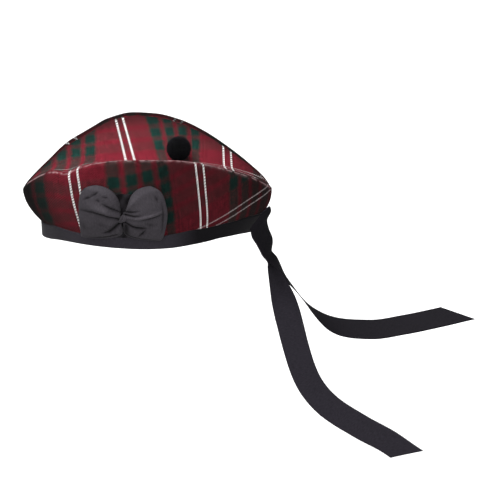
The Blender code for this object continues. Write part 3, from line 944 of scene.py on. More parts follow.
@dataclass(frozen=True)
class Yarn:
    """Black wool yarn of the toorie, a little paler towards the tips."""

    name: str = "toorie_yarn"
    root: Colour = (0.0012, 0.0012, 0.0018)
    tip: Colour = (0.004, 0.004, 0.006)

    def material(self) -> bpy.types.Material:
        """Build the finish."""
        graph = Surface(self.name)
        fuzz = graph.noise(graph.node("ShaderNodeTexCoord", {}, "Object"), 4200.0)
        return graph.finish({
            "Base Color": graph.mix(graph.mask("reach"), self.root, self.tip),
            "Normal": graph.bump(fuzz, 0.05 * MM, 0.6),
            "Roughness": 0.95,
            "Specular IOR Level": 0.15,
            "Sheen Weight": 0.03,
        })


BAND_RIBBON = Ribbon("band_ribbon", (0.029, 0.026, 0.033), ribs=1250.0)
BOW_RIBBON = Ribbon(
    "cockade_ribbon", (0.048, 0.043, 0.050),
    roughness=0.8, ribs=1900.0, relief=0.05 * MM, mottle=0.2, sheen=0.04,
)
TAIL_RIBBON = Ribbon(
    "tail_ribbon", (0.029, 0.026, 0.034),
    roughness=0.85, ribs=1700.0, relief=0.08 * MM, mottle=0.2, sheen=0.0,
)


def finish_piece(piece: bpy.types.Object, material: bpy.types.Material, node: str) -> None:
    """Give a piece its finish and its body, and hide the imported part that it stands for."""
    piece.data.materials.append(material)
    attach(piece, "root")
    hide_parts(node)
    LOG.info("%s: %d faces for %s", piece.name, len(piece.data.polygons), node)


# The tartan panels

class Hand(Enum):
    """Which side of the wearer a panel is on."""

    LEFT = "left"
    RIGHT = "right"


@dataclass(frozen=True)
class WeavePlan:
    """How the tartan lies on a panel that has been laid flat.

    Flat places are in millimetres from the middle of the panel's band line, or of the crown's
    centre line. warp names, for chosen warp threads, their places along the panel at two levels
    across it. Beyond reach the threads run straight on, at the low end after a bend as long as
    ease. drift says how far across the panel the middle of the green weft group lies, and weft
    gives the weft thread at a distance from that middle.
    """

    warp: Table
    drift: Table
    weft: Table
    levels: tuple[float, float]
    reach: tuple[float, float]
    ease: float = 8.0

    def threads(self, flat: Array, stretch: float = 1.0, shift: float = 0.0) -> Array:
        """Thread numbers along and across.

        Args:
            flat: Flat places in metres.
            stretch: Factor on the place along the panel.
            shift: Distance in millimetres added to it after that.

        Returns:
            Warp and weft thread numbers at each place.
        """
        u = flat[..., 0] / MM * stretch + shift
        v = flat[..., 1] / MM
        floor, ceiling = self.reach
        level = np.minimum(floor + self.ease * np.logaddexp(0.0, (v - floor) / self.ease), ceiling)
        share = (level - self.levels[0]) / (self.levels[1] - self.levels[0])
        names, lows, highs = (self.warp.column(key) for key in self.warp.columns)
        starts = [low + (high - low) * share for low, high in zip(lows, highs)]
        along = names[0] + np.zeros_like(u)
        last = len(names) - 2
        for k in range(last + 1):
            part = (u - starts[k]) / (starts[k + 1] - starts[k])
            part = np.clip(part, 0.0 if k else -10.0, 1.0 if k < last else 10.0)
            along += (names[k + 1] - names[k]) * part
        across = self.weft.line(v - self.drift.at(u, "across"), "thread")
        return np.stack((along, across), axis=-1)


SIDE_WEAVE = WeavePlan(
    warp=Table(("thread", "low", "high"), (
        (-94.0, -150.0, -160.0), (-76.0, -137.0, -146.0), (-68.0, -131.0, -140.0), (-47.0, -114.0, -123.0),
        (-7.0, -73.2, -79.6), (7.0, -60.9, -67.1), (47.0, -30.0, -36.0), (68.0, -17.0, -22.4),
        (76.0, -11.5, -17.1), (94.0, 1.5, -5.2), (102.0, 7.0, -1.0), (120.0, 19.5, 10.6),
        (128.0, 26.0, 15.5), (149.0, 34.6, 26.6), (189.0, 62.8, 56.0), (203.0, 70.8, 65.3),
        (243.0, 96.0, 96.5), (298.0, 124.0, 125.0),
    )),
    drift=Table(("along", "across"), (
        (-160.0, 7.5), (-128.0, 15.5), (-28.0, 35.7), (5.0, 42.0), (25.0, 47.3), (50.0, 57.5),
        (81.0, 69.3), (112.0, 82.4), (150.0, 99.0),
    )),
    weft=Table(("across", "thread"), (
        (-60.0, 0.0), (-27.0, 57.5), (-8.6, 85.0), (8.6, 111.0), (27.0, 138.5), (60.0, 196.0),
    )),
    levels=(0.0, 75.0),
    reach=(-25.0, 100.0),
)

CROWN_WEAVE = WeavePlan(
    warp=Table(("thread", "low", "high"), (
        (-149.0, -121.0, -124.0), (-128.0, -106.0, -110.0), (-102.0, -89.0, -92.5),
        (-94.0, -84.5, -88.0), (-76.0, -73.5, -76.5), (-47.0, -58.0, -60.5),
        (-8.0, -25.9, -38.8), (-5.0, -23.0, -36.2), (5.0, -16.4, -30.8),
        (8.0, -13.5, -28.2), (47.0, 11.0, -4.5), (68.0, 21.0, 8.3),
        (76.0, 25.5, 12.5), (94.0, 34.0, 23.0), (102.0, 37.8, 27.5),
        (128.0, 48.0, 42.5), (149.0, 55.8, 52.0), (189.0, 82.8, 76.5),
        (203.0, 92.3, 85.0), (264.0, 130.0, 122.0),
    )),
    drift=Table(("along", "across"), (
        (-140.0, 42.0), (-63.5, 47.0), (10.5, 53.5), (50.5, 57.0), (122.5, 68.6), (140.0, 71.5),
    )),
    weft=Table(("across", "thread"), ((-71.6, 0.0), (0.0, 98.0), (71.6, 196.0))),
    levels=(0.0, 60.0),
    reach=(-10.0, 70.0),
)


@dataclass(frozen=True)
class TartanCap:
    """The two side panels and the crown."""

    form: CapForm
    stations: int = 224
    coarse: int = 4
    seam_gap: float = 0.12 * MM
    least_crown: float = 0.6 * MM
    right_stretch: float = 1.035
    right_shift: float = 23.8
    # Share of brightness kept on the left panel's red and green: a painted darkening of the whole panel.
    left_painted_shade_factor: float = 0.72
    ridge_pull: float = 3.3

    def flat_side(self, points: Array) -> Array:
        """Flat places of the side grid, from the middle of its band line."""
        coarse = flatten(points[::self.coarse, ::self.coarse])
        middle = coarse.shape[0] // 2
        foot = coarse[middle, self.form.seam_steps // self.coarse]
        top = coarse[middle, (self.form.seam_steps + self.form.side_steps) // self.coarse]
        lean = math.atan2(top[0] - foot[0], top[1] - foot[1])
        turn = np.array(((math.cos(lean), math.sin(lean)), (-math.sin(lean), math.cos(lean))))
        return interpolate((coarse - foot) @ turn, self.coarse)

    def flat_crown(self, points: Array) -> Array:
        """Flat places of the crown grid, from the middle of its centre line."""
        coarse = flatten(points[::self.coarse, ::self.coarse])
        columns, rows = coarse.shape[:2]
        return interpolate(coarse - coarse[columns // 2, rows // 2], self.coarse)

    def painted_light_masks(self, hand: Hand, points: Array, height: Array) -> dict[str, Array]:
        """Masks of a side panel: painted shade at its tip and back, and at its ridge a painted highlight on
        the left panel and painted shade on the right.

        The shade of the tip is two bell curves of the distance from it, and that of the back two
        straight ramps along the cap. The ridge's marks are a bell curve or a strip in height.

        Args:
            hand: Which panel.
            points: Its grid, as a left panel.
            height: Height share of each row.

        Returns:
            The masks by name.
        """
        place = points[..., 0] / MM
        tip = place - place[:1]
        # Painted shade: darker near the tip and towards the back of the panel.
        painted_wool_shade = 0.5 * bell(tip, 0.0, 7.0) + 0.80 * bell(tip, 0.0, 34.0)
        painted_wool_shade += 0.44 * ramp(place, -20.0, 50.0) + 0.3 * ramp(place, 92.0, 25.0)
        if hand is Hand.LEFT:
            # Left panel: a painted highlight along the ridge, where its top faces the light.
            pale = 0.3 * bell(height, 0.98, 0.05) * ramp(place, -50.0, 40.0)
            painted_ridge_highlight = np.clip(bell(height, 1.01, 0.018) + pale, 0.0, 1.0)
            # The whole left panel is darkened further by painted shade.
            return {"painted_ridge_highlight": painted_ridge_highlight, "painted_wool_shade": 1.0 - (1.0 - painted_wool_shade) * self.left_painted_shade_factor}
        # Right panel: painted shade on the strip rolled over the ridge, on its white lines too.
        strip = ramp(height, 0.9, 0.04) * ramp(height, 1.22, -0.03)
        painted_white_shade = strip * (0.6 + 0.3 * ramp(place, 0.0, 20.0))
        return {"painted_wool_shade": np.maximum(painted_wool_shade, 0.9 * strip), "painted_white_shade": painted_white_shade}

    def side(self, hand: Hand, finish: bpy.types.Material) -> bpy.types.Object:
        """Build one side panel, from under the band to its turned-in edge at the crown seam."""
        along = self.form.stations(self.stations)
        points, height = self.form.side_rows(along)
        flat = self.flat_side(points)
        points = points + grid_normals(points) * self.waves(along, height)[..., None]
        if hand is Hand.LEFT:
            points = self.form.settled(points)
            threads = SIDE_WEAVE.threads(flat)
            pull = ramp(height, 0.8, 0.25) ** 2 * bell(points[..., 0] / MM, -75.0, 16.0)
            threads[..., 0] += self.ridge_pull * pull
        else:
            points = mirrored(self.form.settled(mirrored(points)))
            threads = SIDE_WEAVE.threads(flat, self.right_stretch, self.right_shift) * np.array((-1.0, 1.0))
        points[..., 1] = np.minimum(points[..., 1], -self.seam_gap)
        inner = points - grid_normals(points) * self.form.wall
        inner[..., 1] = np.minimum(inner[..., 1], -self.seam_gap)
        masks = self.painted_light_masks(hand, points, height)
        if hand is Hand.RIGHT:
            points, inner = mirrored(points[::-1]), mirrored(inner[::-1])
            threads = threads[::-1]
            masks = {key: mask[::-1] for key, mask in masks.items()}
        piece = SheetMesh(f"{hand.value}_tartan_panel", points, inner, threads, masks).build()
        finish_piece(piece, finish, f"side_{hand.value}")
        return piece

    def waves(self, along: Array, height: Array) -> Array:
        """Slight unevenness of the cloth: slow sines, still at every edge, and hollows at the back."""
        up = np.clip(height, 0.0, 1.0)[None, :]
        along = along[:, None]
        bow = np.exp(-(((along - 0.42) / 0.2) ** 6))
        still = np.sin(math.pi * up) * np.sin(math.pi * along) * (1.0 - bow)
        slow = np.sin(9.0 * along + 2.0 * up) * np.sin(4.0 * up + 3.0 * along)
        quick = np.sin(23.0 * along - 5.0 * up + 1.0)
        rear = ramp(along, 0.62, 0.15) * ramp(along, 1.0, -0.15)
        hollow = rear * 0.9 * (np.sin(2.0 * math.pi * up) - np.sin(math.pi * up) ** 2)
        return (still * (0.5 * slow + 0.25 * quick) + hollow) * MM

    def crown(self, finish: bpy.types.Material) -> bpy.types.Object:
        """Build the dented crown between the two seams, with painted shade near the right one and at the
        back.
        """
        samples = np.linspace(0.0, 1.0, 2001)
        edge = self.form.seam_inset(samples) + 2.0 * self.form.seam_fold
        wide = samples[self.form.ridge_half(samples) - edge > self.least_crown]
        along = wide[0] + (wide[-1] - wide[0]) * self.form.stations(self.stations)
        points = self.form.crown_rows(along)
        threads = CROWN_WEAVE.threads(self.flat_crown(points))
        points = self.form.settled(points)
        x, y = points[..., 0] / MM, points[..., 1] / MM
        # Painted shade on the crown: darker near the right seam, a little towards the back, and near the
        # left seam at the back.
        rear = ramp(x, 40.0, 40.0)
        far = 0.7 * np.exp((y - y[:, -1:]) / 12.0) * (1.0 - 0.4 * rear)
        near = 0.45 * rear * np.exp((y[:, :1] - y) / 26.0)
        inner = points - grid_normals(points) * self.form.wall
        masks = {"painted_wool_shade": far + 0.13 * rear + near}
        piece = SheetMesh("tartan_crown", points, inner, threads, masks).build()
        finish_piece(piece, finish, "crown")
        return piece

    def build(self, finish: bpy.types.Material) -> None:
        for hand in Hand:
            panel = self.side(hand, finish)
        crown = self.crown(finish)


# The band

@dataclass(frozen=True)
class Band:
    """The ribbon doubled over the rim, which rises towards the back seam."""

    form: CapForm
    lap_inside: float = 11.0 * MM
    stations: int = 150
    leg_rows: int = 10
    fold_rows: int = 13
    corner: float = 0.9 * MM
    sag: float = 1.0 * MM
    front_ease: float = 1.6 * MM
    front_reach: float = 0.03
    tilt_from: float = 0.7
    tilt_height: float = 52.5 * MM
    extra_height: Table = Table(("along", "more"), (
        (0.00, 3.0), (0.06, 2.5), (0.12, 0.0), (0.20, -1.5), (0.45, -0.6), (0.55, -0.6), (0.62, 1.4),
        (0.71, 2.4), (0.80, 1.6), (0.88, 2.6), (0.95, 6.5), (1.00, 10.5),
    ))

    def ring(self, values: Array) -> Array:
        """The left side's stations followed by the right side's, back to the front."""
        return np.concatenate((values, mirrored(values[-2:0:-1])))

    def profile(self) -> tuple[Array, Array, Array]:
        """Places on the fold: inner leg, round bottom and outer leg.

        Returns:
            Outward places, upward places, and each one's share of the way up the outer leg.
        """
        out = self.form.gap + self.form.band_wall / 2.0
        within = -(self.form.wall + out)
        angle = np.linspace(math.pi, 2.0 * math.pi, self.fold_rows + 2)[1:-1]
        legs = np.linspace(1.0, 0.0, self.leg_rows)
        bottom = (out + within) / 2.0 + (out - within) / 2.0 * np.cos(angle)
        outward = np.concatenate((legs * 0.0 + within, bottom, legs * 0.0 + out))
        lifts = (self.lap_inside * legs, self.corner * np.sin(angle), self.form.band_height * legs[::-1])
        climb = np.concatenate((legs * 0.0, angle * 0.0, legs[::-1]))
        lowest = out - self.corner + self.sag
        return outward, np.concatenate(lifts) - lowest * (1.0 - climb), climb

    def build(self, finish: bpy.types.Material) -> None:
        """Sweep the fold round the rim, its outer leg pressed to the panels where it rises."""
        along = self.form.stations(self.stations)
        rim = self.ring(self.form.rim_line(along))
        upward = unit(self.ring(self.form.band_top_line(along)) - rim)
        ahead = np.roll(rim, -1, axis=0) - np.roll(rim, 1, axis=0)
        outward = unit(np.cross(ahead, upward))
        there = np.concatenate((along, along[-2:0:-1]))[:, None]
        out, up, climb = self.profile()
        more = self.extra_height.at(there, "more") * MM * climb
        ease = self.front_ease * bell(there, 0.0, self.front_reach) * (out > 0.0)
        points = rim[:, None] + outward[:, None] * (out + ease)[..., None]
        points += upward[:, None] * (up + more)[..., None]
        back = (there - 0.5) * (self.form.crown_length - self.form.rim_length)
        points[..., 0] += back * more / self.tilt_height * (there > self.tilt_from)
        place = points[..., 0] / MM
        # Painted shade: darker towards the back and at the front end.
        painted_ribbon_shade = 1.1 * ramp(place, 25.0, 30.0) + 0.5 * ramp(place, -75.0, -20.0)
        piece = ribbon("rim_band", points, self.form.band_wall, spans(points), painted_ribbon_shade, closed=True)
        finish_piece(piece, finish, "band")


# The toorie

# It sits a little behind and below the middle of its plain solid
TOORIE_SETTLE = Vector((1.1, 0.0, -1.6)) * MM


@dataclass(frozen=True)
class Toorie:
    """The ball of wool on the crown, made of short yarn ends."""

    centre: tuple[float, float, float]
    radius: float
    strands: int = 5200
    core: float = 0.80
    root: float = 0.65
    scatter: float = 0.05
    bend: float = 0.07
    thickness: float = 0.55 * MM
    seed: int = 11

    def strand_points(self) -> tuple[Array, Array]:
        """Corners of every strand, and how far out each lies from root to tip.

        A strand is a three-sided tube of four rings along a line that leaves the core close to
        straight out and bends a little aside. Its rings shrink towards the tip.

        Returns:
            Points of shape (strands, rings, sides, 3), and reach of shape (strands, rings, sides).
        """
        random = np.random.default_rng(self.seed)
        count = np.arange(self.strands)
        level = 1.0 - 2.0 * (count + 0.5) / self.strands
        angle = count * math.pi * (3.0 - math.sqrt(5.0))
        flat = np.sqrt(1.0 - level**2)
        aim = stack(flat * np.cos(angle), flat * np.sin(angle), level)
        aim = unit(aim + random.normal(0.0, self.scatter, aim.shape))
        side = unit(np.cross(aim, unit(random.normal(size=aim.shape))))
        other = np.cross(aim, side)
        length = self.radius * (0.985 + 0.05 * random.standard_normal(self.strands).clip(-2.0, 1.2))
        bend = random.normal(0.0, self.bend, self.strands)
        share = np.array((0.0, 0.4, 0.75, 1.0))
        swell = np.array((1.0, 1.1, 0.95, 0.35)) * self.thickness / 2.0
        inner = self.radius * self.root
        reach = inner + (length[:, None] - inner) * share
        line = aim[:, None] * reach[..., None]
        line += side[:, None] * (bend[:, None] * reach * share**2)[..., None]
        turn = np.arange(3)[:, None] * 2.0 * math.pi / 3.0
        spokes = side[:, None] * np.cos(turn) + other[:, None] * np.sin(turn)
        points = line[:, :, None] + spokes[:, None] * swell[:, None, None]
        return points, np.broadcast_to(share[:, None], points.shape[:3])

    def build(self, finish: bpy.types.Material) -> None:
        """Build the strands and the dark core under them."""
        points, reach = self.strand_points()
        index = np.arange(reach.size).reshape(reach.shape)
        ahead = np.roll(index, -1, axis=2)
        walls = np.stack((index[:, :-1], ahead[:, :-1], ahead[:, 1:], index[:, 1:]), axis=-1)
        around = np.linspace(0.0, 2.0 * math.pi, 41)[:-1, None]
        up = np.linspace(-math.pi / 2.0, math.pi / 2.0, 21)
        core = stack(np.cos(up) * np.cos(around), np.cos(up) * np.sin(around), np.sin(up))
        core = self.radius * self.core * core
        ball = np.arange(core.size // 3).reshape(core.shape[:2]) + reach.size
        every = np.concatenate((points.reshape(-1, 3), core.reshape(-1, 3))) + np.array(self.centre)
        masks = {"reach": np.concatenate((reach.ravel(), np.zeros(ball.size)))}
        faces = [walls.reshape(-1, 4), cells(ringed(ball)), index[:, -1]]
        piece = mesh_object("toorie_yarn_ends", every, faces, masks)
        finish_piece(piece, finish, "toorie")


# The bow

class Loop(Enum):
    """The two loops of the bow, by the way each points along the cap."""

    FRONT = -1
    REAR = 1


# Places of the loops' ribs in side view, millimetres from the knot: at a third, at two thirds and
# at the end of each rib, outwards and up
LOOP_COLUMNS = ("across", "out_1", "up_1", "out_2", "up_2", "out_3", "up_3")
LOOP_RIBS = {
    Loop.FRONT: Table(LOOP_COLUMNS, (
        (0.00, 0.6, -17.5, 9.0, -24.5, 37.5, -29.0), (0.12, 8.0, -13.0, 24.0, -20.5, 41.4, -25.5),
        (0.25, 12.0, -9.0, 27.0, -13.0, 41.4, -14.0), (0.50, 14.0, 0.5, 28.0, 2.0, 41.0, 3.5),
        (0.75, 12.5, 10.5, 27.0, 17.5, 39.8, 20.0), (0.88, 8.5, 16.0, 21.0, 25.5, 35.5, 29.0),
        (1.00, 4.0, 21.0, 12.0, 30.0, 26.0, 33.0),
    )),
    Loop.REAR: Table(LOOP_COLUMNS, (
        (0.00, 0.8, -17.0, 8.5, -23.5, 34.0, -27.5), (0.12, 8.0, -12.5, 23.5, -19.5, 38.8, -23.0),
        (0.25, 12.0, -8.0, 27.5, -12.5, 41.2, -14.5), (0.50, 14.5, 1.5, 29.5, 4.0, 43.6, 4.0),
        (0.75, 12.0, 9.5, 25.5, 17.0, 41.5, 19.0), (0.88, 9.5, 13.5, 20.0, 23.5, 37.8, 28.5),
        (1.00, 6.6, 16.0, 12.5, 28.0, 29.5, 34.0),
    )),
}

# Creases of the bow in side view, millimetres from the knot. Rows with the same line number are
# joined, and the depth is negative for a raised fold
CREASE_COLUMNS = ("line", "x", "z", "width", "depth")
CREASES = {
    Loop.FRONT: Table(CREASE_COLUMNS, (
        (0, -1.8, 7.0, 0.8, 2.0), (0, -11.8, 13.6, 0.9, 2.0), (0, -18.8, 17.6, 1.0, 0.0),
        (1, -2.6, -1.6, 0.9, 2.4), (1, -15.6, 5.5, 1.0, 2.4), (1, -26.1, 7.9, 1.1, 1.6),
        (1, -41.5, 5.9, 1.3, 0.2), (2, -4.0, 3.0, 2.4, -0.6), (2, -15.0, 10.0, 3.0, -1.3),
        (2, -32.0, 14.0, 4.0, 0.0), (3, -2.0, -4.8, 1.1, 3.0), (3, -12.2, -14.2, 1.1, 3.0),
        (3, -19.0, -16.8, 1.2, 0.3), (4, -37.0, -25.5, 1.0, 0.3), (4, -19.3, -23.0, 1.0, 1.8),
        (4, -6.0, -19.0, 1.0, 1.8), (5, -43.0, 23.0, 0.8, 0.2), (5, -37.5, 27.8, 0.9, 1.4),
        (5, -33.0, 29.5, 0.9, 0.0), (6, -36.0, 17.6, 0.8, 0.0), (6, -31.5, 21.0, 0.9, 1.5),
        (6, -26.5, 23.4, 0.8, 0.0), (7, -28.8, 22.0, 0.8, 0.2), (7, -24.5, 26.0, 0.9, 1.3),
        (7, -20.5, 29.6, 0.8, 0.0), (8, -23.8, 21.4, 0.8, 0.0), (8, -21.6, 19.8, 0.8, 1.3),
        (8, -19.4, 17.8, 0.8, 0.0), (9, -18.0, 24.2, 0.8, 0.0), (9, -14.4, 23.6, 0.8, 1.2),
        (9, -10.5, 22.6, 0.8, 0.0), (10, -26.0, -3.5, 1.8, 0.0), (10, -19.0, -6.0, 1.8, 0.6),
        (10, -11.0, -5.0, 1.8, 0.0), (11, -38.5, -2.0, 2.4, 0.0), (11, -36.0, -12.0, 2.4, 0.6),
        (11, -37.0, -20.0, 2.4, 0.0),
    )),
    Loop.REAR: Table(CREASE_COLUMNS, (
        (0, 1.8, 7.3, 0.8, 2.0), (0, 8.8, 8.7, 0.8, 2.0), (0, 19.5, 11.8, 1.0, 0.0),
        (1, 2.4, 4.4, 0.8, 2.4), (1, 10.3, 5.2, 0.9, 2.2), (1, 20.0, 6.8, 1.0, 0.2),
        (2, 3.5, 1.4, 1.4, -0.8), (2, 16.0, 3.4, 1.5, -1.6), (2, 28.0, 5.8, 1.4, -2.0),
        (2, 39.0, 9.0, 1.3, -0.6), (3, 15.0, 0.6, 0.9, 0.0), (3, 27.0, 3.0, 1.0, 1.6),
        (3, 38.0, 6.0, 0.9, 1.0), (4, 1.4, -3.8, 1.0, 3.0), (4, 10.0, -6.5, 1.1, 3.2),
        (4, 20.3, -7.5, 1.1, 2.4), (4, 25.5, -6.8, 1.1, 0.0), (5, 15.4, -19.5, 1.0, 0.4),
        (5, 20.0, -14.5, 1.0, 2.2), (5, 23.4, -8.8, 1.0, 0.3), (6, 6.0, -19.5, 1.0, 1.6),
        (6, 20.3, -23.0, 1.0, 1.8), (6, 35.0, -24.5, 1.0, 0.6), (7, 38.6, 20.5, 0.9, 0.0),
        (7, 39.6, 4.3, 0.9, 1.3), (7, 38.6, -15.0, 0.9, 0.4), (8, 6.0, 13.0, 2.4, 0.0),
        (8, 12.0, 21.0, 2.6, -1.0), (8, 17.0, 28.0, 2.4, 0.0), (9, 32.0, 26.0, 0.8, 0.0),
        (9, 34.0, 22.0, 0.8, 1.2), (9, 35.0, 17.5, 0.8, 0.0), (10, 3.8, -8.5, 2.2, 1.6),
        (10, 4.4, -17.0, 2.4, 1.8), (11, 22.0, -1.0, 1.6, 0.0), (11, 28.0, -4.0, 1.6, 0.8),
        (11, 34.0, -4.5, 1.6, 0.0),
    )),
}


@dataclass(frozen=True)
class Bow:
    """The ribbon bow on the left side: backing, two loops and a knot."""

    form: CapForm
    x: float = -21.0 * MM
    z: float = 38.5 * MM
    wall: float = 0.9 * MM
    puff: float = 8.0 * MM
    pleat: float = 1.3 * MM
    pleats: float = 3.0
    pinch_height: float = 12.0 * MM
    knot_width: float = 3.3 * MM
    knot_height: float = 5.13 * MM
    knot_depth: float = 8.5 * MM
    knot_tilt: float = 0.75
    knot_shift: float = 1.2 * MM
    backing_width: float = 56.0 * MM
    backing_height: float = 47.0 * MM
    backing_rise: float = 4.5 * MM
    backing_rounding: float = 0.10
    root_out: float = 1.6 * MM
    curl_below: float = -23.0 * MM
    curl: float = 0.2
    root_fade: float = 0.08
    lip: float = 0.09
    fold_depth: float = 1.3 * MM
    ribs: int = 128
    steps: int = 100

    def levels(self) -> tuple[float, float, float]:
        """Distances of the layers from the panel: backing, a loop's back leaf and the pinch."""
        backing = 2.0 * self.form.gap + self.wall / 2.0
        back_leaf = backing + self.wall + self.form.gap
        return backing, back_leaf, back_leaf + self.wall + 3.0 * self.form.gap

    def placed(self, x: Array, z: Array, stand: Array) -> Array:
        """Points that stand out from the panel at side-view places from the bow's middle."""
        return self.form.on_side(self.x + x, self.z + z, stand)

    def puffed(self, across: Array, step: Array) -> Array:
        """Height of a loop's front leaf above the pinch: a swell with pleats that fade outwards."""
        edge = np.sqrt(np.sin(math.pi * np.clip(across, 0.03, 0.97)))
        swell = self.puff * np.sin(math.pi * (0.12 + 0.68 * step)) * edge * np.minimum(1.0, 3.0 * step)
        fold = self.pleat * (1.0 - step) * step**0.3 * np.cos(2.0 * math.pi * self.pleats * across)
        return swell + fold + self.pleat

    def creased(self, loop: Loop, x: Array, z: Array) -> tuple[Array, Array]:
        """Creases, each the sum of a narrow and a broad bell curve of the distance to its line.

        Args:
            loop: Which loop.
            x: Places along the cap from the knot, in millimetres.
            z: Heights from the knot, in millimetres.

        Returns:
            Depth of the furrows, and the raised folds as negative depth.
        """
        furrow = fold = np.zeros(x.shape)
        rows = np.array(CREASES[loop].rows)
        for here, there in zip(rows, rows[1:]):
            if here[0] != there[0]:
                continue
            run = there[1:3] - here[1:3]
            share = ((x - here[1]) * run[0] + (z - here[2]) * run[1]) / (run @ run)
            share = np.clip(share, 0.0, 1.0)
            wide, deep = (here[k] + (there[k] - here[k]) * share for k in (3, 4))
            away = np.hypot(x - here[1] - run[0] * share, z - here[2] - run[1] * share) / wide
            depth = deep * (bell(away, 0.0, 1.0) + 0.35 * bell(away, 0.0, 2.6))
            furrow = np.maximum(furrow, depth)
            fold = np.minimum(fold, depth)
        return furrow * MM, fold * MM

    def loop(self, loop: Loop, finish: bpy.types.Material) -> bpy.types.Object:
        """Build one loop: its ribs bend from the pinch to the outer fold and back behind it.

        Each rib is the cubic through its four places.

        Args:
            loop: Which loop.
            finish: Its material.

        Returns:
            The piece.
        """
        hand = float(loop.value)
        _, back_leaf, pinch = self.levels()
        across = np.linspace(0.0, 1.0, self.ribs)
        outward = np.linspace(0.0, 1.0, self.steps)
        step = np.concatenate((outward, outward[-2::-2]))[:, None]
        front = np.arange(step.shape[0])[:, None] < self.steps
        places = (0.0, 1.0 / 3.0, 2.0 / 3.0, 1.0)
        weights = [math.prod((step - b) / (a - b) for b in places if b != a) for a in places]
        ribs = [LOOP_RIBS[loop].at(across, key) * MM for key in LOOP_COLUMNS[1:]]
        outs = (self.root_out, *ribs[::2])
        ups = ((across - 0.5) * self.pinch_height, *ribs[1::2])
        out = sum(weight * place for weight, place in zip(weights, outs))
        up = sum(weight * place for weight, place in zip(weights, ups))
        furrow, fold = self.creased(loop, hand * out / MM, up / MM)
        depth = (furrow + fold) * ramp(step, 0.0, self.root_fade)
        least = back_leaf + 1.05 * self.wall
        lip = np.sin(math.pi / 2.0 * ramp(np.minimum(across, 1.0 - across), 0.0, self.lip))
        raised = np.maximum(pinch + self.puffed(across, step) - depth - least, 0.0) * lip + least
        stand = np.where(front, raised, back_leaf) + self.curl * np.maximum(self.curl_below - up, 0.0)
        # Painted shade in the furrows and a painted highlight on the raised folds, on the front leaf only.
        painted_ribbon_shade = (ramp(furrow / MM, 0.0, 1.8) - 0.4 * ramp(fold / MM, 0.0, -1.6)) * front
        points = self.placed(hand * out, up, stand)
        uv = spans(points)
        if loop is Loop.FRONT:
            points, uv, painted_ribbon_shade = points[:, ::-1], uv[:, ::-1], painted_ribbon_shade[:, ::-1]
        side = loop.name.lower()
        piece = ribbon(f"{side}_bow_loop", points, self.wall, uv, painted_ribbon_shade)
        finish_piece(piece, finish, f"cockade_loop_{side}")
        return piece

    def backing(self, finish: bpy.types.Material) -> bpy.types.Object:
        """Build the crumpled ribbon behind the loops, waved by crossed sines."""
        x, z = np.meshgrid(np.linspace(-0.5, 0.5, 90), np.linspace(-0.65, 0.45, 70), indexing="ij")
        rounding = 1.0 - self.backing_rounding * (2.0 * np.abs(z)) ** 3
        crumple = np.sin(19.0 * x + 6.0 * z) * np.sin(11.0 * z - 7.0 * x) + 0.6 * np.sin(31.0 * x - 17.0 * z)
        free = ramp(z, 0.1, 0.2) * ramp(np.abs(x), 0.3, -0.1)
        points = self.placed(
            x * self.backing_width * rounding,
            self.backing_rise + z * self.backing_height,
            self.levels()[0] + free * (1.0 + 0.6 * crumple) * MM,
        )
        # Painted shade over the whole backing, varying a little with the crumples.
        painted_ribbon_shade = np.clip(1.0 - 0.25 * crumple, 0.0, 1.2)
        piece = ribbon("bow_backing", points, self.wall, spans(points), painted_ribbon_shade)
        finish_piece(piece, finish, "cockade_back")
        return piece

    def knot(self, finish: bpy.types.Material) -> None:
        """Build the pinched middle: a dome over a slanting drop with one fold across it."""
        inner = self.levels()[1] - self.wall / 2.0
        angle = np.linspace(0.0, 2.0 * math.pi, 73)[:-1, None]
        level = np.linspace(-math.pi / 2.0, math.pi / 2.0, 41)[None, :]
        ring = np.abs(np.cos(level)) ** 0.8 * (1.0 + 0.16 * np.cos(3.0 * angle - 1.4))
        x = self.knot_width * ring * np.cos(angle)
        z = self.knot_height * ring * np.sin(angle)
        rise = np.sin(level)
        fold = bell((x + 0.25 * z) / MM, -0.9, math.sqrt(0.5)) * np.maximum(rise, 0.0)
        deep = self.knot_depth * (0.5 + 0.45 * rise) - self.fold_depth * fold
        cosine, sine = math.cos(self.knot_tilt), math.sin(self.knot_tilt)
        points = self.placed(self.knot_shift + x * cosine + z * sine, z * cosine - x * sine, inner + deep)
        index = np.arange(points.size // 3).reshape(points.shape[:2])
        faces = [cells(ringed(index))]
        piece = mesh_object("bow_knot", points.reshape(-1, 3), faces, {}, spans(points).reshape(-1, 2))
        finish_piece(piece, finish, "cockade_knot")

    def build(self, finish: bpy.types.Material) -> None:
        """Build the bow: its backing, two loops and knot."""
        backing = self.backing(finish)
        for loop in Loop:
            piece = self.loop(loop, finish)
        self.knot(finish)


# The tails

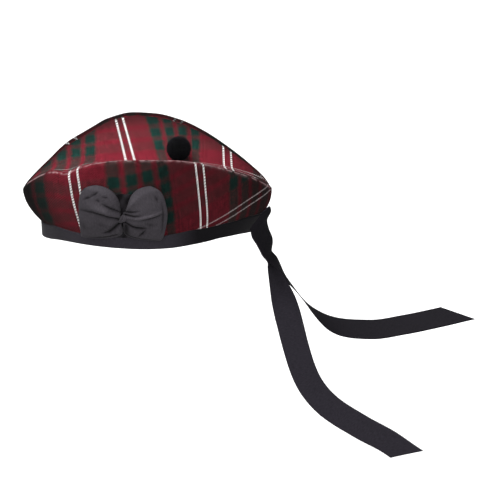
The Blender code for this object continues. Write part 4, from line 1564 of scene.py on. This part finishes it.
TAIL_COLUMNS = ("reach", "drop", "near", "lean", "turn")
TAIL_ROOT = Table(TAIL_COLUMNS, (
    (-0.10, -0.12, 0.27, 38.0, 10.0), (0.00, 0.00, 0.27, 38.0, 22.0), (-0.07, 0.20, 0.20, 36.0, 50.0),
    (0.27, 0.47, 0.08, 40.0, 62.0), (0.70, 0.72, 0.02, 32.0, 66.0), (1.00, 1.00, 0.00, 10.0, 85.0),
))
UPPER_TAIL = Table(TAIL_COLUMNS, (
    (0.035, 0.055, 0.20, 25.0, 92.0), (0.087, 0.257, 0.42, 36.0, 100.0), (0.125, 0.375, 0.48, 38.0, 104.0),
    (0.163, 0.506, 0.50, 39.0, 105.0), (0.206, 0.651, 0.50, 42.0, 102.0), (0.259, 0.788, 0.48, 50.0, 94.0),
    (0.320, 0.900, 0.45, 64.0, 84.0), (0.388, 0.965, 0.42, 74.0, 77.0), (0.456, 0.992, 0.40, 82.0, 74.0),
    (0.545, 1.000, 0.40, 91.0, 73.0), (0.724, 0.927, 0.40, 101.0, 73.0), (0.899, 0.824, 0.40, 104.0, 73.0),
    (1.000, 0.757, 0.40, 104.0, 73.0),
))
LOWER_TAIL = Table(TAIL_COLUMNS, (
    (0.008, 0.020, -0.03, 10.0, 80.0), (0.036, 0.070, -0.03, 10.0, 66.0), (0.068, 0.145, 0.00, 12.0, 51.0),
    (0.106, 0.226, 0.00, 12.0, 27.0), (0.143, 0.324, 0.00, 11.0, 7.0), (0.180, 0.426, 0.00, 12.0, 0.0),
    (0.240, 0.558, 0.00, 17.0, 3.0), (0.300, 0.643, 0.00, 32.0, 6.0), (0.420, 0.741, 0.00, 50.0, 9.0),
    (0.658, 0.853, 0.00, 59.0, 9.0), (0.846, 0.927, 0.00, 58.0, 7.0), (1.000, 1.000, 0.00, 57.0, 4.0),
))


@dataclass(frozen=True)
class Tail:
    """One ribbon tail, hung from the back seam."""

    form: CapForm
    name: str
    node: str
    sections: Table
    reach: float
    drop: float
    slant: float
    side: float
    # Painted shade over the whole tail.
    painted_shade_level: float = 0.0
    width: float = 30.0 * MM
    wall: float = 0.8 * MM
    spacing: float = 2.0 * MM
    root_behind: float = 7.6 * MM
    root_rise: float = 14.6 * MM
    waist_reach: float = 10.6 * MM
    waist_drop: float = 48.5 * MM
    cut_stretch: float = 0.25
    steps: int = 320
    strips: int = 18

    def path(self) -> tuple[Array, Array, Array]:
        """Sections of the ribbon from the seam to its cut end.

        Returns:
            Section centres, slopes of the width in side view and turns away, in radians.
        """
        start = self.form.rim_line(np.array(1.0)) + np.array((self.root_behind, 0.0, self.root_rise))
        waist = start + np.array((self.waist_reach, 0.0, -self.waist_drop))
        root = (TAIL_ROOT, start, self.waist_reach, self.waist_drop)
        parts = []
        for table, corner, reach, drop in (root, (self.sections, waist, self.reach, self.drop)):
            ahead, down, near, lean, turn = (table.column(key) for key in TAIL_COLUMNS)
            middle = corner + stack(ahead * reach, -near * self.width, -down * drop)
            parts.append(np.column_stack((middle, lean, turn)))
        sections = np.concatenate(parts)
        return sections[:, :3], np.radians(sections[:, 3]), np.radians(sections[:, 4])

    def build(self, finish: bpy.types.Material) -> None:
        """Sweep the ribbon's width along its path and cut the end on a slant."""
        middle, lean, turn = self.path()
        passed = np.concatenate(([0.0], np.cumsum(np.linalg.norm(np.diff(middle, axis=0), axis=1))))
        length = float(passed[-1])
        steps = np.linspace(0.0, length, self.steps + 1)
        path = np.stack([smooth(steps, passed, middle[:, axis]) for axis in range(3)], axis=1)
        lean = smooth(steps, passed, lean)
        turn = smooth(steps, passed, turn)
        broad = stack(np.cos(turn) * np.cos(lean), np.sin(turn), np.cos(turn) * np.sin(lean))[:, None]
        across = np.linspace(-0.5, 0.5, self.strips + 1)
        points = path[:, None] + broad * (across * self.width)[:, None]
        ahead = unit(np.gradient(points, axis=0))
        facing = unit(np.cross(ahead, np.broadcast_to(broad, points.shape)))
        ending = ramp(steps / length, 1.0 - self.cut_stretch, self.cut_stretch) ** 2
        points = points - ahead * (ending[:, None] * across * self.slant)[..., None]
        points = points - facing * self.side * self.spacing / 2.0
        uv = np.stack(np.broadcast_arrays(steps[:, None], across * self.width), axis=-1)
        piece = ribbon(self.name, points, self.wall, uv, np.full(points.shape[:2], self.painted_shade_level))
        finish_piece(piece, finish, self.node)


# The studio

@dataclass(frozen=True)
class Lamp:
    """A soft even light: its direction from the cap, the degrees it spans and its strength."""

    name: str
    towards: tuple[float, float, float]
    softness: float
    strength: float

    def build(self) -> None:
        """Add the light."""
        lamp = bpy.data.lights.new(self.name, "SUN")
        lamp.angle = math.radians(self.softness)
        lamp.energy = self.strength
        linked(self.name, lamp).rotation_euler = Vector(self.towards).to_track_quat("Z", "Y").to_euler()


@dataclass(frozen=True)
class Studio:
    """A pale floor, soft lights and the camera."""

    floor_height: float = -0.335
    floor_reach: float = 12.0
    elevation: float = 26.0
    distance: float = 1.7
    width_of_view: float = 0.55
    sensor: float = 36.0
    target: tuple[float, float, float] = (0.11065, 0.0, -0.0366)
    white: Colour = (0.95, 0.95, 0.95)
    bounce: Colour = (0.30, 0.30, 0.30)
    sky: float = 0.2
    lamps: tuple[Lamp, ...] = (
        Lamp("key", (-0.36, 0.15, 0.90), 50.0, 4.35),
        Lamp("fill", (0.05, -0.88, 0.42), 50.0, 2.05),
    )

    def floor(self) -> None:
        """A wide plane, white to the camera, darker to the cap above it, and clear from below."""
        graph = Surface("studio_floor")
        seen = graph.node("ShaderNodeLightPath", {}, "Is Camera Ray")
        material = graph.finish({
            "Base Color": graph.mix(seen, self.bounce, self.white),
            "Roughness": 1.0,
            "Specular IOR Level": 0.0,
        })
        below = graph.node("ShaderNodeNewGeometry", {}, "Backfacing")
        clear = graph.node("ShaderNodeBsdfTransparent", {})
        white = Value(graph, graph.shader.outputs[0])
        surface = graph.node("ShaderNodeMixShader", {0: below, 1: white, 2: clear})
        graph.feed(graph.tree.nodes["Material Output"], {0: surface})
        corners = np.array(((-1.0, -1.0), (1.0, -1.0), (1.0, 1.0), (-1.0, 1.0))) * self.floor_reach
        points = stack(corners[:, 0], corners[:, 1], self.floor_height)
        plane = mesh_object("studio_floor", points, [np.arange(4)[None]], {})
        plane.data.materials.append(material)

    def camera(self) -> None:
        """The camera at the photograph's angle."""
        lens = bpy.data.cameras.new("camera")
        lens.sensor_width = self.sensor
        lens.lens = self.sensor * self.distance / self.width_of_view
        angle = math.radians(self.elevation)
        back = Vector((0.0, -math.cos(angle), math.sin(angle)))
        rig = linked("camera", lens)
        rig.location = Vector(self.target) + back * self.distance
        rig.rotation_mode = "QUATERNION"
        rig.rotation_quaternion = (-back).to_track_quat("-Z", "Y")
        bpy.context.scene.camera = rig

    def build(self) -> None:
        """Set up floor, lights, world and camera."""
        self.floor()
        for lamp in self.lamps:
            lamp.build()
        world = bpy.data.worlds.new("studio")
        world.use_nodes = True
        Graph(world.node_tree).feed(
            world.node_tree.nodes["Background"], {0: (1.0, 1.0, 1.0), 1: self.sky}
        )
        bpy.context.scene.world = world
        bpy.context.scene.view_settings.view_transform = "Standard"
        self.camera()


def main() -> None:
    """Build the cap in order, then the studio."""
    logging.basicConfig(level=logging.INFO, format="%(message)s")
    form = CapForm()
    cord = ribbon_group()
    TartanCap(form).build(TartanWool().material(tartan_group(Sett())))
    Band(form).build(BAND_RIBBON.material(cord))
    low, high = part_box("toorie")
    middle = (Vector(low) + Vector(high)) / 2.0 + TOORIE_SETTLE
    Toorie(tuple(middle), (high[2] - low[2]) / 2.0).build(Yarn().material())
    Bow(form).build(BOW_RIBBON.material(cord))
    # The upper tail is darkened by painted shade.
    upper = Tail(
        form, "near_tail_ribbon", "tail_near", UPPER_TAIL,
        reach=209.7 * MM, drop=85.6 * MM, slant=34.0 * MM, side=-1.0, painted_shade_level=0.92,
    )
    lower = Tail(
        form, "far_tail_ribbon", "tail_far", LOWER_TAIL,
        reach=162.9 * MM, drop=259.4 * MM, slant=-28.0 * MM, side=1.0,
    )
    black = TAIL_RIBBON.material(cord)
    for tail in (upper, lower):
        tail.build(black)
    Studio().build()
    LOG.info("sizes noted")


if __name__ == "__main__":
    main()
